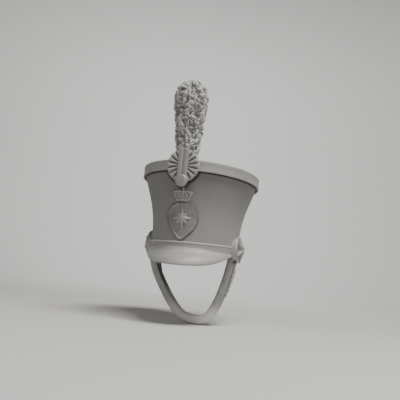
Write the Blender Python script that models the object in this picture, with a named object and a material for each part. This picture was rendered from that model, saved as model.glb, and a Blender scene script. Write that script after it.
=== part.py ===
"""Shako: felt crown on a leather headband, with peak, cockade, plume, plate and chin strap.

Metres, +Z up. The origin is the centre of the headband's lower rim, the front faces -Y and
the wearer's left is +X. Heights on the crown are read at its sides, where y is 0: towards the
top each level tips up at the front with the sloping top.
"""
from math import cos, pi, radians, sin, sqrt
from random import Random

import bmesh
import bpy
from mathutils import Matrix, Vector

GAP = 0.0003                     # clearance between neighbouring pieces
SIDES = 48                       # facets round the crown

# crown, half sizes of the felt's outer face
RIM_HALF_WIDTH = 0.0916
RIM_HALF_DEPTH = 0.1020
FELT_WALL = 0.003
FLARE_START = 0.032              # the wall is upright below this height
FLARE_FULL = 0.115               # and leans out evenly above this one
FLARE_SLOPE = 0.35
DEPTH_SHARE = 0.767              # the front and back spread less than the sides
TOP_HEIGHT = 0.1695
TOP_TILT = 0.0724                # rise of the top towards the front, per metre

# leather round the crown
HEADBAND_HEIGHT = 0.0192
HEADBAND_WALL = 0.0011
BEAD_RADIUS = 0.0013             # rolled upper edge of the headband
TOP_BAND_HEIGHT = 0.0210
TOP_BAND_OUT = 0.0060            # outer face of the top band, out from the felt
TOP_LEATHER = 0.0026
TOP_SINK = 0.0015                # the top lies this far below the band's upper edge
SKIRT_SHORT = 0.0050             # the top's skirt ends this far above the band's lower edge
BAND_LOWER = TOP_HEIGHT - TOP_BAND_HEIGHT

# peak
PEAK_REACH = 0.0286
PEAK_SLOPE = radians(43.8)
PEAK_SIDE_SLOPE = radians(27)    # extra slope at the sides
PEAK_SWEEP = radians(71)         # half angle round the front, as far as the bosses
PEAK_TAPER_SWEEP = radians(93)
PEAK_TAPER_POWER = 2.85
PEAK_LEATHER = 0.0028
PEAK_LIP = 0.0028                # radius of the rolled lip
PEAK_ROOT = 0.0046               # height of its upper face at the headband
PEAK_DROOP = radians(30)         # the upper face falls this much more steeply at the lip
PEAK_KNEE = 0.40                 # share of the peak's run, up from its lip, that bows over

# cockade, loop and button in front of the top band
COCKADE_HEIGHT = 0.1657
COCKADE_RADIUS = 0.0330
COCKADE_BACK = -0.1200
COCKADE_FACE = -0.1312           # front of the backing drum
DRUM_INSET = 0.0035              # the drum is hidden this far inside the rosette's edge
PLEATS = 16
PLEAT_DEPTH = 0.0030
ROSETTE_THICK = 0.0048
ROSETTE_BORDER = 0.0026          # width of the plain rounded border
LOOP_WIDTH = 0.0214
LOOP_THICK = 0.0026
LOOP_CREST_THICK = 0.0009        # where it turns over the rosette's top
LOOP_REACH = 0.0080              # it runs back this far over the top
LOOP_FOOT = 0.1335
BUTTON_SIDE = 0.0030
BUTTON_HEIGHT = 0.1345
BUTTON_RADIUS = 0.0120
BUTTON_THICK = 0.0105

# plume
PLUME_BASE = Vector((-0.0015, -0.1090, 0.1700))
PLUME_TOP = Vector((-0.0025, -0.1170, 0.3405))
PLUME_SIDES = 26
PLUME_ROWS = 30
LOCK_DEPTH = 0.0040
STEM_RADIUS = 0.0030
STEM_LOW = 0.1500
STEM_HIGH = 0.2200

# shield plate with its star and crown ornament, with heights from the crown's foot up
SHIELD_BASE = 0.0013             # thickness of the field
SHIELD_RIM = 0.0016              # the border stands this far above the field
SHIELD_RIM_WIDTH = 0.0026
SHIELD_MIDDLE = 0.0665
PLATE_OUT = 0.0004               # back of the plates, out from the felt
STAR_SIDE = -0.0014
STAR_POINTS = 8
STAR_RADIUS = 0.0205
STAR_WAIST = 0.0092
STAR_RISE = 0.0034
DROP_RADIUS = 0.0022             # two small drops on the shield's border
DROP_HEIGHT = 0.0955
DROP_PLACES = (-0.0062, 0.0022)
ORNAMENT_SIDE = -0.0015
ORNAMENT_FOOT = 0.0990
ORNAMENT_FOOT_HALF = 0.0118      # half width of the circlet
ORNAMENT_CORNER = 0.0184         # half width across the upper corners
ORNAMENT_ARCH = 0.0100           # from the middle to each arch's crown
ORNAMENT_ARCH_RISE = 0.0016
CIRCLET_TOP = 0.1026
ORNAMENT_BROW = 0.1168           # where the borders meet under the cross
CROSS_SIDE = 0.0014
CROSS_TOP = 0.1256
ORNAMENT_BACK = 0.0010           # thickness of its back plate
RIB_RISE = 0.0024                # the ribs and borders stand this high, or a little more
PEARL_RADIUS = 0.0016
PEARL_RISE = 0.0019              # middle of each pearl, out from the back

# bosses at the sides
BOSS_FORWARD = -0.0090
BOSS_HEIGHT = 0.0165
BOSS_RADIUS = 0.0270
BOSS_FACE = 0.0992               # x of the boss's outer face
BOSS_INNER = 0.0840
BOSS_TILT = radians(3)
BOSS_STAR_ARMS = 6
BOSS_STAR_RISE = 0.0108
BOSS_STAR_WAIST = 0.0100
BOSS_STAR_EDGE = 0.0012

# chin strap: a padded roll whose flat tongues run up behind the bosses
STRAP_DEPTH_TOP = 0.0310         # front to back, under the bosses
STRAP_DEPTH = 0.0240             # front to back, lower down
STRAP_FLAP = 0.0120              # the -X leg's top is this much deeper, towards the back
STRAP_TAPER = (0.0120, 0.0350)   # the depth narrows from this far down, over this length
STRAP_THICK = 0.0178             # at the legs
STRAP_THICK_LOW = 0.0186         # at the bottom of the loop
STRAP_TOP = -0.0006
TONGUE_INNER = 0.0943
TONGUE_OUTER = 0.0963
TONGUE_HEIGHT = 0.0340
TONGUE_DEPTH = 0.0220
ROLL_INNER = 0.0768              # x of the roll's inner face where it starts
SCALES = 6
SCALE_PITCH = 0.0096
SCALE_FIRST = 0.0200             # down the leg from the strap's top
SCALE_WIDTH_HIGH = 0.0200
SCALE_WIDTH_LOW = 0.0130

# centreline of the strap from the -X leg to the +X leg: it hangs plumb from a crown worn
# tipped a little to one side, so the loop's foot lies towards +X
STRAP_ROUTE = (
    {"x": -0.0862, "z": -0.0100},
    {"x": -0.0818, "z": -0.0262},
    {"x": -0.0745, "z": -0.0455},
    {"x": -0.0651, "z": -0.0622},
    {"x": -0.0550, "z": -0.0777},
    {"x": -0.0450, "z": -0.0927},
    {"x": -0.0359, "z": -0.1043},
    {"x": -0.0243, "z": -0.1174},
    {"x": -0.0115, "z": -0.1273},
    {"x": 0.0030, "z": -0.1321},
    {"x": 0.0180, "z": -0.1331},
    {"x": 0.0315, "z": -0.1324},
    {"x": 0.0413, "z": -0.1281},
    {"x": 0.0495, "z": -0.1193},
    {"x": 0.0580, "z": -0.1035},
    {"x": 0.0646, "z": -0.0880},
    {"x": 0.0702, "z": -0.0720},
    {"x": 0.0757, "z": -0.0520},
    {"x": 0.0812, "z": -0.0300},
    {"x": 0.0848, "z": -0.0100},
)

# the shield's outline from the top down, a little fuller on the wearer's right
SHIELD_OUTLINE = (
    {"left": -0.0112, "right": 0.0147, "z": 0.0980},
    {"left": -0.0252, "right": 0.0240, "z": 0.0905},
    {"left": -0.0324, "right": 0.0294, "z": 0.0800},
    {"left": -0.0348, "right": 0.0320, "z": 0.0690},
    {"left": -0.0334, "right": 0.0312, "z": 0.0600},
    {"left": -0.0284, "right": 0.0272, "z": 0.0505},
    {"left": -0.0226, "right": 0.0222, "z": 0.0420},
    {"left": -0.0082, "right": 0.0062, "z": 0.0260},
)
SHIELD_TIP = (-0.0006, 0.0220)

# half width of the plume, up from its hidden foot in the crown's top edge
PLUME_PROFILE = (
    {"up": 0.0000, "radius": 0.0165},
    {"up": 0.0150, "radius": 0.0192},
    {"up": 0.0350, "radius": 0.0220},
    {"up": 0.0520, "radius": 0.0238},
    {"up": 0.0680, "radius": 0.0254},
    {"up": 0.0840, "radius": 0.0270},
    {"up": 0.1000, "radius": 0.0288},
    {"up": 0.1160, "radius": 0.0302},
    {"up": 0.1320, "radius": 0.0310},
    {"up": 0.1430, "radius": 0.0296},
    {"up": 0.1510, "radius": 0.0268},
    {"up": 0.1580, "radius": 0.0226},
    {"up": 0.1640, "radius": 0.0165},
    {"up": 0.1680, "radius": 0.0080},
)


# ---------------------------------------------------------------- scene and materials

def clear_scene():
    for obj in list(bpy.data.objects):
        bpy.data.objects.remove(obj, do_unlink=True)


def material(name, color, roughness, metallic=0.0):
    made = bpy.data.materials.new(name)
    made.use_nodes = True
    shader = made.node_tree.nodes["Principled BSDF"]
    shader.inputs["Base Color"].default_value = (*color, 1.0)
    shader.inputs["Roughness"].default_value = roughness
    shader.inputs["Metallic"].default_value = metallic
    return made


def link(name, bm, finish=None, crease=radians(32)):
    """A bmesh becomes a named object with smooth rounds and crisp edges."""
    mesh = bpy.data.meshes.new(name)
    bm.to_mesh(mesh)
    bm.free()
    mesh.shade_smooth()
    mesh.set_sharp_from_angle(angle=crease)
    if finish:
        mesh.materials.append(finish)
    obj = bpy.data.objects.new(name, mesh)
    bpy.context.scene.collection.objects.link(obj)
    return obj


def cutter(name, bm):
    obj = link(name, bm)
    obj.hide_render = True
    obj.display_type = "WIRE"
    return obj


def boolean(obj, other, operation="DIFFERENCE"):
    step = obj.modifiers.new(operation.lower(), "BOOLEAN")
    step.operation = operation
    step.object = other


# ---------------------------------------------------------------- mesh helpers

def skin(loops, ring=False):
    """One solid through a row of closed loops, capped at both ends or closed as a ring."""
    bm = bmesh.new()
    rows = [[bm.verts.new(point) for point in points] for points in loops]
    pairs = list(zip(rows, rows[1:]))
    if ring:
        pairs.append((rows[-1], rows[0]))
    for lower, upper in pairs:
        for i in range(len(lower)):
            bm.faces.new((lower[i - 1], lower[i], upper[i], upper[i - 1]))
    if not ring:
        for row in (rows[0], rows[-1]):
            bm.faces.new(row)
    bmesh.ops.recalc_face_normals(bm, faces=bm.faces)
    return bm


def round_bar(radius, start, end, segments):
    """A round bar between two points."""
    bm = bmesh.new()
    axis = Vector(end) - Vector(start)
    turn = axis.to_track_quat("Z", "Y").to_matrix().to_4x4()
    place = Matrix.Translation((Vector(start) + Vector(end)) / 2) @ turn
    bmesh.ops.create_cone(bm, cap_ends=True, segments=segments, radius1=radius,
                          radius2=radius, depth=axis.length, matrix=place)
    return bm


def box(low, high):
    bm = bmesh.new()
    low, high = Vector(low), Vector(high)
    bmesh.ops.create_cube(bm, size=1.0, matrix=Matrix.Translation((low + high) / 2)
                          @ Matrix.Diagonal((*(high - low), 1.0)))
    return bm


def ball(radius, centre, segments=8):
    bm = bmesh.new()
    bmesh.ops.create_uvsphere(bm, u_segments=segments, v_segments=segments - 2,
                              radius=radius, matrix=Matrix.Translation(centre))
    return bm


def fuse(solids):
    """One closed body from overlapping solids."""
    bodies = [cutter(f"fuse_{i}", bm) for i, bm in enumerate(solids)]
    for other in bodies[1:]:
        boolean(bodies[0], other, "UNION")
    graph = bpy.context.evaluated_depsgraph_get()
    mesh = bpy.data.meshes.new_from_object(bodies[0].evaluated_get(graph))
    fused = bmesh.new()
    fused.from_mesh(mesh)
    bpy.data.meshes.remove(mesh)
    for body in bodies:
        bpy.data.objects.remove(body, do_unlink=True)
    return fused


def slice_at(bm, places, normal):
    """Add edges across every face at these distances along a normal, so that it can bend."""
    for place in places:
        bmesh.ops.bisect_plane(bm, geom=bm.verts[:] + bm.edges[:] + bm.faces[:], dist=1e-6,
                               plane_co=Vector(normal) * place, plane_no=normal)


def mirror_side(bm, side):
    """Turn a +X piece into the one for this side."""
    if side < 0:
        bmesh.ops.scale(bm, verts=bm.verts, vec=(-1, 1, 1))
        bmesh.ops.reverse_faces(bm, faces=bm.faces)
    return bm


def between(low, high, share):
    return low + (high - low) * share


def lookup(table, column, value, place):
    """Straight-line reading of a short table at a place along its first column."""
    for before, after in zip(table, table[1:]):
        if value <= after[place]:
            share = (value - before[place]) / (after[place] - before[place])
            return between(before[column], after[column], share)
    return table[-1][column]


def curve_through(points, steps):
    """A smooth curve through the points, with this many steps from each to the next."""
    ends = [points[0] * 2 - points[1], *points, points[-1] * 2 - points[-2]]
    out = []
    for before, start, end, after in zip(ends, ends[1:], ends[2:], ends[3:]):
        for i in range(steps):
            t = i / steps
            out.append((start * 2 + (end - before) * t
                        + (before * 2 - start * 5 + end * 4 - after) * t ** 2
                        + (start * 3 - before - end * 3 + after) * t ** 3) / 2)
    return out + [points[-1]]


# ---------------------------------------------------------------- form of the crown

def flare(height):
    """How far the felt has spread out at a height."""
    bend = FLARE_FULL - FLARE_START
    curved = min(max(height - FLARE_START, 0.0), bend)
    straight = max(min(height, BAND_LOWER) - FLARE_FULL, 0.0)
    return FLARE_SLOPE * (curved ** 2 / (2 * bend) + straight)


def tilt(height):
    """Tip of a level: none at the headband, that of the top from the top band up."""
    share = (height - HEADBAND_HEIGHT) / (BAND_LOWER - HEADBAND_HEIGHT)
    return TOP_TILT * min(max(share, 0.0), 1.0)


def half_sizes(height, out):
    spread = flare(height)
    return RIM_HALF_WIDTH + spread + out, RIM_HALF_DEPTH + DEPTH_SHARE * spread + out


def level(height, out=0.0, sides=SIDES, shrink=1.0):
    """Points round the crown at a height, this far out from the felt."""
    half_width, half_depth = half_sizes(height, out)
    points = []
    for i in range(sides):
        turn = 2 * pi * i / sides
        x, y = half_width * sin(turn) * shrink, -half_depth * cos(turn) * shrink
        points.append((x, y, height - tilt(height) * y))
    return points


def on_front(x, z, out):
    """Point on the crown's front, this far out from the felt."""
    height = z
    y = 0.0
    for _ in range(8):
        half_width, half_depth = half_sizes(height, out)
        y = -half_depth * sqrt(1 - (x / half_width) ** 2)
        height = z + tilt(height) * y
    return Vector((x, y, z))


def bend_onto_crown(bm, spacing_x=0.008, spacing_z=0.015):
    """Lay a flat piece, drawn in x and z with its relief as y, onto the crown's front."""
    low = [min(vert.co[axis] for vert in bm.verts) for axis in range(3)]
    high = [max(vert.co[axis] for vert in bm.verts) for axis in range(3)]
    for axis, spacing, normal in ((0, spacing_x, (1, 0, 0)), (2, spacing_z, (0, 0, 1))):
        count = int((high[axis] - low[axis]) / spacing)
        slice_at(bm, [between(low[axis], high[axis], (i + 1) / (count + 1))
                      for i in range(count)], normal)
    for vert in bm.verts:
        vert.co = on_front(vert.co.x, vert.co.z, vert.co.y)
    bmesh.ops.reverse_faces(bm, faces=bm.faces)
    return bm


# ---------------------------------------------------------------- crown and its leather

def make_crown_body(felt):
    heights = (0.0, 0.020, 0.035, 0.050, 0.065, 0.080, 0.095, 0.110, 0.130, BAND_LOWER)
    top = TOP_HEIGHT - TOP_SINK - TOP_LEATHER - GAP
    outer = [level(height) for height in (*heights, top)]
    inner = [level(height, -FELT_WALL) for height in (top, *reversed(heights[::2]))]
    return link("crown_body", skin(outer + inner, ring=True), felt)


def make_headband(leather):
    low, high = GAP, GAP + HEADBAND_WALL
    bead = HEADBAND_HEIGHT + BEAD_RADIUS / 2
    profile = ((low, 0.0), (high, 0.0), (high, bead - BEAD_RADIUS),
               (high + 0.7 * BEAD_RADIUS, bead - 0.6 * BEAD_RADIUS),
               (high + BEAD_RADIUS, bead),
               (high + 0.4 * BEAD_RADIUS, bead + 0.9 * BEAD_RADIUS),
               (low, bead + 0.6 * BEAD_RADIUS))
    return link("headband", skin([level(z, out) for out, z in profile], ring=True), leather)


def make_top_band(leather):
    inner = 2 * GAP + TOP_LEATHER
    soft = 0.0014
    profile = ((inner, BAND_LOWER), (TOP_BAND_OUT - soft / 2, BAND_LOWER),
               (TOP_BAND_OUT, BAND_LOWER + soft), (TOP_BAND_OUT, TOP_HEIGHT - 2 * soft),
               (TOP_BAND_OUT - 0.4 * soft, TOP_HEIGHT - 0.6 * soft),
               (TOP_BAND_OUT - 1.2 * soft, TOP_HEIGHT),
               (inner, TOP_HEIGHT - soft / 2))
    return link("top_band", skin([level(z, out) for out, z in profile], ring=True), leather)


def make_crown_top(leather):
    """A shallow leather cap whose skirt runs down between felt and top band."""
    outer, inner = GAP + TOP_LEATHER, GAP
    face = TOP_HEIGHT - TOP_SINK
    low = BAND_LOWER + SKIRT_SHORT
    under = face - TOP_LEATHER
    loops = [level(under, inner, shrink=0.4), level(under, inner), level(low, inner),
             level(low, outer), level(face - 0.001, outer), level(face, outer - 0.001),
             level(face, inner, shrink=0.4)]
    obj = link("crown_top", skin(loops), leather)
    boolean(obj, cutter("stem_hole", stem_bar(STEM_RADIUS + GAP, 0.140, 0.190)))
    return obj


def peak_section(turn):
    """Corners of the peak's section at a turn round the front, as (out, height) points."""
    share = cos(turn * (pi / 2) / PEAK_TAPER_SWEEP) ** PEAK_TAPER_POWER
    reach = PEAK_REACH * share
    lip = min(PEAK_LIP, 0.0004 + 0.2 * reach)
    wall = min(PEAK_LEATHER, 1.7 * lip)
    slope = PEAK_SLOPE + PEAK_SIDE_SLOPE * sin(turn) ** 2
    down = Vector((cos(slope), -sin(slope)))
    up = Vector((sin(slope), cos(slope)))
    run = reach / cos(slope) - lip
    root = Vector((0, PEAK_ROOT))
    centre = root + down * run - up * lip

    def round_lip(angle):
        return centre + down * lip * sin(angle) + up * lip * cos(angle)

    end = round_lip(PEAK_DROOP)
    knee = end - (down * cos(PEAK_DROOP) - up * sin(PEAK_DROOP)) * PEAK_KNEE * run

    def upper(share):
        return root.lerp(knee, share).lerp(knee.lerp(end, share), share)

    points = [upper(share) for share in (0.0, 0.3, 0.55, 0.8)]
    points += [round_lip(between(PEAK_DROOP, pi, i / 4)) for i in range(5)]
    points += [upper(share) - up * wall for share in (0.75, 0.4)]
    return points + [root - Vector((0, wall / cos(slope)))]


def make_peak(leather):
    """A sloping crescent round the front of the headband, bowed over to a rolled lip."""
    half_width, half_depth = half_sizes(0.0, 2 * GAP + HEADBAND_WALL)
    sections = []
    steps = 34
    for i in range(steps + 1):
        turn = between(-PEAK_SWEEP, PEAK_SWEEP, i / steps)
        foot = Vector((half_width * sin(turn), -half_depth * cos(turn), 0))
        out = Vector((sin(turn) / half_width, -cos(turn) / half_depth, 0)).normalized()
        sections.append([foot + out * point.x + Vector((0, 0, point.y))
                         for point in peak_section(turn)])
    return link("peak", skin(sections), leather)


# ---------------------------------------------------------------- cockade and plume

def make_cockade_base(leather):
    """A drum that backs the rosette and is shaped to the top band behind it."""
    bm = round_bar(COCKADE_RADIUS - DRUM_INSET, (0, COCKADE_FACE, COCKADE_HEIGHT),
                   (0, COCKADE_BACK + 0.004, COCKADE_HEIGHT), 36)
    rim = [edge for edge in bm.edges if all(v.co.y < COCKADE_FACE + 1e-5 for v in edge.verts)]
    bmesh.ops.bevel(bm, geom=rim, offset=0.0008, affect="EDGES", segments=1, profile=0.5,
                    material=-1)
    obj = link("cockade_base", bm, leather)
    clear = GAP + 0.0001
    loops = [level(0.100, clear), level(0.130, clear), level(BAND_LOWER - clear, clear),
             level(BAND_LOWER - clear + 1e-4, TOP_BAND_OUT + clear),
             level(TOP_HEIGHT + clear, TOP_BAND_OUT + clear)]
    boolean(obj, cutter("crown_front_clearance", skin(loops)))
    behind = box((-0.05, COCKADE_BACK, 0.10), (0.05, COCKADE_BACK + 0.02, 0.25))
    boolean(obj, cutter("cockade_back_face", behind))
    return obj


def make_cockade(cloth):
    """A rosette on the drum: radial pleats inside a plain rounded border."""
    back = COCKADE_FACE - GAP
    front = back - ROSETTE_THICK
    # places across one pleat, as a share of it, and how deep the groove is there
    pleat = ((-0.24, 0.0), (-0.09, 0.95), (0.09, 0.95), (0.24, 0.0), (0.50, -0.15))

    def ring(radius, y, groove=0.0, groove_width=1.0):
        points = []
        for i in range(PLEATS):
            for place, depth in pleat:
                if place < 0.5:
                    place *= groove_width
                turn = 2 * pi * (i + 0.5 + place) / PLEATS
                points.append((radius * cos(turn), y + groove * depth,
                               COCKADE_HEIGHT + radius * sin(turn)))
        return points

    edge = COCKADE_RADIUS - 0.0003
    inside = edge - ROSETTE_BORDER
    # the border's round: in from the edge and back from the face
    rounding = ((0.0, 0.0022), (0.0006, 0.0010), (0.0016, 0.0002))
    narrow = 0.7
    loops = [ring(0.45 * edge, back), ring(edge, back)]
    loops += [ring(edge - inward, front + backward) for inward, backward in rounding]
    loops += [ring(inside, front, 0.0, narrow), ring(inside - 0.0010, front, PLEAT_DEPTH, narrow),
              ring(0.60 * edge, front, PLEAT_DEPTH), ring(0.26 * edge, front, 0.4 * PLEAT_DEPTH)]
    return link("cockade", skin(loops), cloth, radians(24))


def make_cockade_loop(cord):
    """Two cords side by side, from over the cockade's top down to the button."""
    half = LOOP_WIDTH / 2
    base = COCKADE_FACE - ROSETTE_THICK - 3 * GAP - 0.0002
    outline = [(-half, 0.0), (-half, 0.5), (-0.80 * half, 0.92), (-0.50 * half, 1.0),
               (-0.20 * half, 0.80), (0.0, 0.15), (0.20 * half, 0.80), (0.50 * half, 1.0),
               (0.80 * half, 0.92), (half, 0.5), (half, 0.0), (0.5 * half, 0.0), (0.0, 0.0),
               (-0.5 * half, 0.0)]
    crest = COCKADE_HEIGHT + COCKADE_RADIUS + 2 * GAP
    turn_start = 12.0
    # up the rosette's face and back over its top: place in y and z, and the turn in degrees
    route = [(base, LOOP_FOOT, 0.0), (base, between(LOOP_FOOT, crest, 0.25), 0.0),
             (base, crest - 0.0100, 0.0), (base, crest - 0.0020, turn_start),
             (base + 0.0006, crest - 0.0006, 40.0), (base + 0.0020, crest, 75.0),
             (base + 0.0060, crest, 90.0), (COCKADE_FACE + LOOP_REACH, crest, 90.0)]
    sections = []
    for y, z, turn in route:
        thick = between(LOOP_THICK, LOOP_CREST_THICK, turn / 90.0)
        out = Vector((0, -cos(radians(turn)), sin(radians(turn)))) * thick
        fall = min(turn / turn_start, 1.0)
        sections.append([Vector((x, y, z - round_fall(x) * fall)) + out * rise
                         for x, rise in outline])
    return link("cockade_loop", skin(sections), cord)


def round_fall(x):
    """How far the cockade's round top has fallen at a distance from its middle."""
    radius = COCKADE_RADIUS + 2 * GAP
    return radius - sqrt(radius ** 2 - x ** 2)


def make_button(metal):
    """A thick button over the loop's lower end, with a rounded edge and a nearly flat face."""
    back = COCKADE_FACE - ROSETTE_THICK - LOOP_THICK - 4 * GAP - 0.0003
    # share of the radius and of the thickness, from the back to the face
    rings = ((0.55, 0.0), (0.94, 0.0), (1.00, 0.12), (1.00, 0.62), (0.95, 0.84),
             (0.82, 0.96), (0.45, 1.0))
    facets = 24
    loops = []
    for size, rise in rings:
        radius = BUTTON_RADIUS * size
        turns = [2 * pi * i / facets for i in range(facets)]
        loops.append([(BUTTON_SIDE + radius * cos(turn), back - BUTTON_THICK * rise,
                       BUTTON_HEIGHT + radius * sin(turn)) for turn in turns])
    return link("cockade_button", skin(loops), metal)


def stem_bar(radius, low, high):
    """The plume's stem follows its lean."""
    lean = (PLUME_TOP - PLUME_BASE) / (PLUME_TOP.z - PLUME_BASE.z)
    return round_bar(radius, PLUME_BASE + lean * (low - PLUME_BASE.z),
                     PLUME_BASE + lean * (high - PLUME_BASE.z), 12)


def make_plume(wool):
    """Short locks all over a club-shaped core, flattened where the cockade holds it."""
    random = Random(7)
    height = (PLUME_TOP - PLUME_BASE).length
    loops = []
    for row in range(PLUME_ROWS + 1):
        share = sin(row / PLUME_ROWS * pi / 2) ** 1.15
        centre = PLUME_BASE.lerp(PLUME_TOP, share)
        radius = lookup(PLUME_PROFILE, "radius", share * PLUME_PROFILE[-1]["up"], "up")
        depth = LOCK_DEPTH * min(1.0, 0.25 + share * 1.3) * (0.4 if row == PLUME_ROWS else 1)
        if row == 0:
            depth = 0.0
        points = []
        for i in range(PLUME_SIDES):
            turn = 2 * pi * (i + 0.5 * (row % 2)) / PLUME_SIDES
            lock = random.choice((0, 1))
            out = radius + depth * (0.9 * lock - 0.45 + random.uniform(-0.35, 0.35))
            rise = height / PLUME_ROWS * 0.35 * lock * (0 < row < PLUME_ROWS - 4)
            points.append(centre + Vector((out * sin(turn), -out * cos(turn),
                                           rise * random.uniform(0.3, 1.0))))
        loops.append(points)
    obj = link("plume", skin(loops), wool, radians(50))
    clear = GAP + 0.0001
    front = -0.200
    drum = round_bar(COCKADE_RADIUS + clear, (0, front, COCKADE_HEIGHT),
                     (0, COCKADE_BACK + clear, COCKADE_HEIGHT), 40)
    crest = COCKADE_HEIGHT + COCKADE_RADIUS + 2 * GAP + LOOP_CREST_THICK + clear
    over_loop = box((-LOOP_WIDTH / 2 - clear, front, 0.150),
                    (LOOP_WIDTH / 2 + clear, COCKADE_FACE + LOOP_REACH + clear, crest))
    below = [level(0.150, TOP_BAND_OUT + 0.02), level(TOP_HEIGHT + clear, TOP_BAND_OUT + 0.02)]
    boolean(obj, cutter("cockade_clearance", drum))
    boolean(obj, cutter("loop_clearance", over_loop))
    boolean(obj, cutter("top_clearance", skin(below)))
    boolean(obj, cutter("stem_bore", stem_bar(STEM_RADIUS + GAP, 0.140, STEM_HIGH + GAP)))
    return obj


def make_plume_stem(metal):
    return link("plume_stem", stem_bar(STEM_RADIUS, STEM_LOW, STEM_HIGH), metal)


# ---------------------------------------------------------------- plates on the front

def flat_plate(outline, low, high):
    """A plate drawn in x and z, from one relief height to another."""
    bm = bmesh.new()
    face = bm.faces.new([bm.verts.new((x, low, z)) for x, z in outline])
    made = bmesh.ops.extrude_face_region(bm, geom=[face])["geom"]
    bmesh.ops.translate(bm, vec=(0, high - low, 0),
                        verts=[item for item in made if isinstance(item, bmesh.types.BMVert)])
    bmesh.ops.recalc_face_normals(bm, faces=bm.faces)
    return bm


def shield_points():
    right = [(row["right"], row["z"]) for row in SHIELD_OUTLINE]
    left = [(row["left"], row["z"]) for row in reversed(SHIELD_OUTLINE)]
    return [*right, SHIELD_TIP, *left]


def make_shield_plate(metal):
    """A field inside a raised border, with two small drops on the border's top."""
    high = PLATE_OUT + SHIELD_BASE + SHIELD_RIM
    bm = flat_plate(shield_points(), PLATE_OUT, high)
    front = [face for face in bm.faces if all(v.co.y > high - 1e-6 for v in face.verts)]
    bmesh.ops.inset_region(bm, faces=front, thickness=SHIELD_RIM_WIDTH, use_even_offset=True)
    bmesh.ops.inset_region(bm, faces=front, thickness=0.0006, use_even_offset=True)
    bmesh.ops.translate(bm, vec=(0, -SHIELD_RIM, 0), verts=front[0].verts)
    drops = [ball(DROP_RADIUS, (x, high - 0.0004, DROP_HEIGHT), 6) for x in DROP_PLACES]
    return link("shield_plate", bend_onto_crown(fuse([bm, *drops])), metal)


def make_shield_star(metal):
    """A faceted star on the shield's field."""
    low = PLATE_OUT + SHIELD_BASE + GAP
    outline = []
    for i in range(2 * STAR_POINTS):
        turn = pi * i / STAR_POINTS
        radius = STAR_WAIST if i % 2 else STAR_RADIUS * (0.78 if i % 4 == 2 else 1.0)
        outline.append((STAR_SIDE + radius * sin(turn), SHIELD_MIDDLE + radius * cos(turn)))
    bm = flat_plate(outline, low, low + 0.0008)
    front = [face for face in bm.faces if all(v.co.y > low + 0.0007 for v in face.verts)]
    centre = bmesh.ops.poke(bm, faces=front)["verts"]
    bmesh.ops.translate(bm, vec=(0, STAR_RISE, 0), verts=centre)
    return link("shield_star", bend_onto_crown(bm), metal)


def bar_between(start, end, width, low, high):
    """A straight raised strip between two points of the relief."""
    along = Vector((end[0] - start[0], end[1] - start[1]))
    across = Vector((-along.y, along.x)).normalized() * width / 2
    corners = [Vector(start) + across, Vector(start) - across, Vector(end) - across,
               Vector(end) + across]
    return flat_plate([tuple(corner) for corner in corners], low, high)


def make_plate_crown(metal):
    """A small crown in relief: a circlet, ribs under two arched borders, and a cross on top."""
    back, foot, circlet, brow = PLATE_OUT, ORNAMENT_FOOT, CIRCLET_TOP, ORNAMENT_BROW
    foot_half, corner_x, arch_x = ORNAMENT_FOOT_HALF, ORNAMENT_CORNER, ORNAMENT_ARCH
    rib_foot = circlet - 0.0010
    lip = 0.0006                 # the circlet stands out this far past the field at its foot
    middle = (CROSS_SIDE, brow - 0.0002)

    def rib(start, end, width, extra=0.0):
        return bar_between(start, end, width, back, back + RIB_RISE + extra)

    def pearl(x, z, size=1.0):
        return ball(PEARL_RADIUS * size, (x, back + PEARL_RISE, z), 6)

    right = [(foot_half, foot + 0.0010), (corner_x, brow), (arch_x, brow + ORNAMENT_ARCH_RISE)]
    left = [(-x, z) for x, z in reversed(right)]
    parts = [flat_plate([*right, (0.0, brow), *left], back, back + ORNAMENT_BACK),
             flat_plate([(-foot_half - lip, foot), (foot_half + lip, foot),
                         (foot_half + 2 * lip, circlet), (-foot_half - 2 * lip, circlet)],
                        back, back + 2.4 * ORNAMENT_BACK)]
    for side in (-1, 1):
        corner, arch = (side * corner_x, brow - 0.0010), (side * arch_x, brow + ORNAMENT_ARCH_RISE)
        parts += [rib((side * foot_half, rib_foot), corner, 0.0024, 0.0004),
                  rib(corner, arch, 0.0030, 0.0007),
                  rib(arch, middle, 0.0028, 0.0006),
                  rib((side * 0.0050, rib_foot), (side * 0.0084, brow), 0.0020),
                  pearl(side * 0.0032, between(circlet, brow, 0.48)),
                  pearl(side * 0.0102, between(circlet, brow, 0.54)),
                  pearl(side * (corner_x - 0.0006), brow, 1.2)]
    arm = CROSS_TOP - 0.0026
    parts += [rib((CROSS_SIDE, rib_foot), (CROSS_SIDE, CROSS_TOP), 0.0018, 0.0002),
              pearl(CROSS_SIDE, brow + 0.0018, 1.35),
              rib((CROSS_SIDE - 0.0023, arm), (CROSS_SIDE + 0.0023, arm), 0.0017)]
    bm = fuse(parts)
    bmesh.ops.translate(bm, vec=(ORNAMENT_SIDE, 0, 0), verts=bm.verts)
    return link("plate_crown", bend_onto_crown(bm, 0.009, 0.014), metal)


# ---------------------------------------------------------------- bosses at the sides

def boss_place():
    """Local +Z out of the boss's face, at the face's centre on the +X side."""
    return (Matrix.Translation((BOSS_FACE, BOSS_FORWARD, BOSS_HEIGHT))
            @ Matrix.Rotation(pi / 2 - BOSS_TILT, 4, "Y"))


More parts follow.
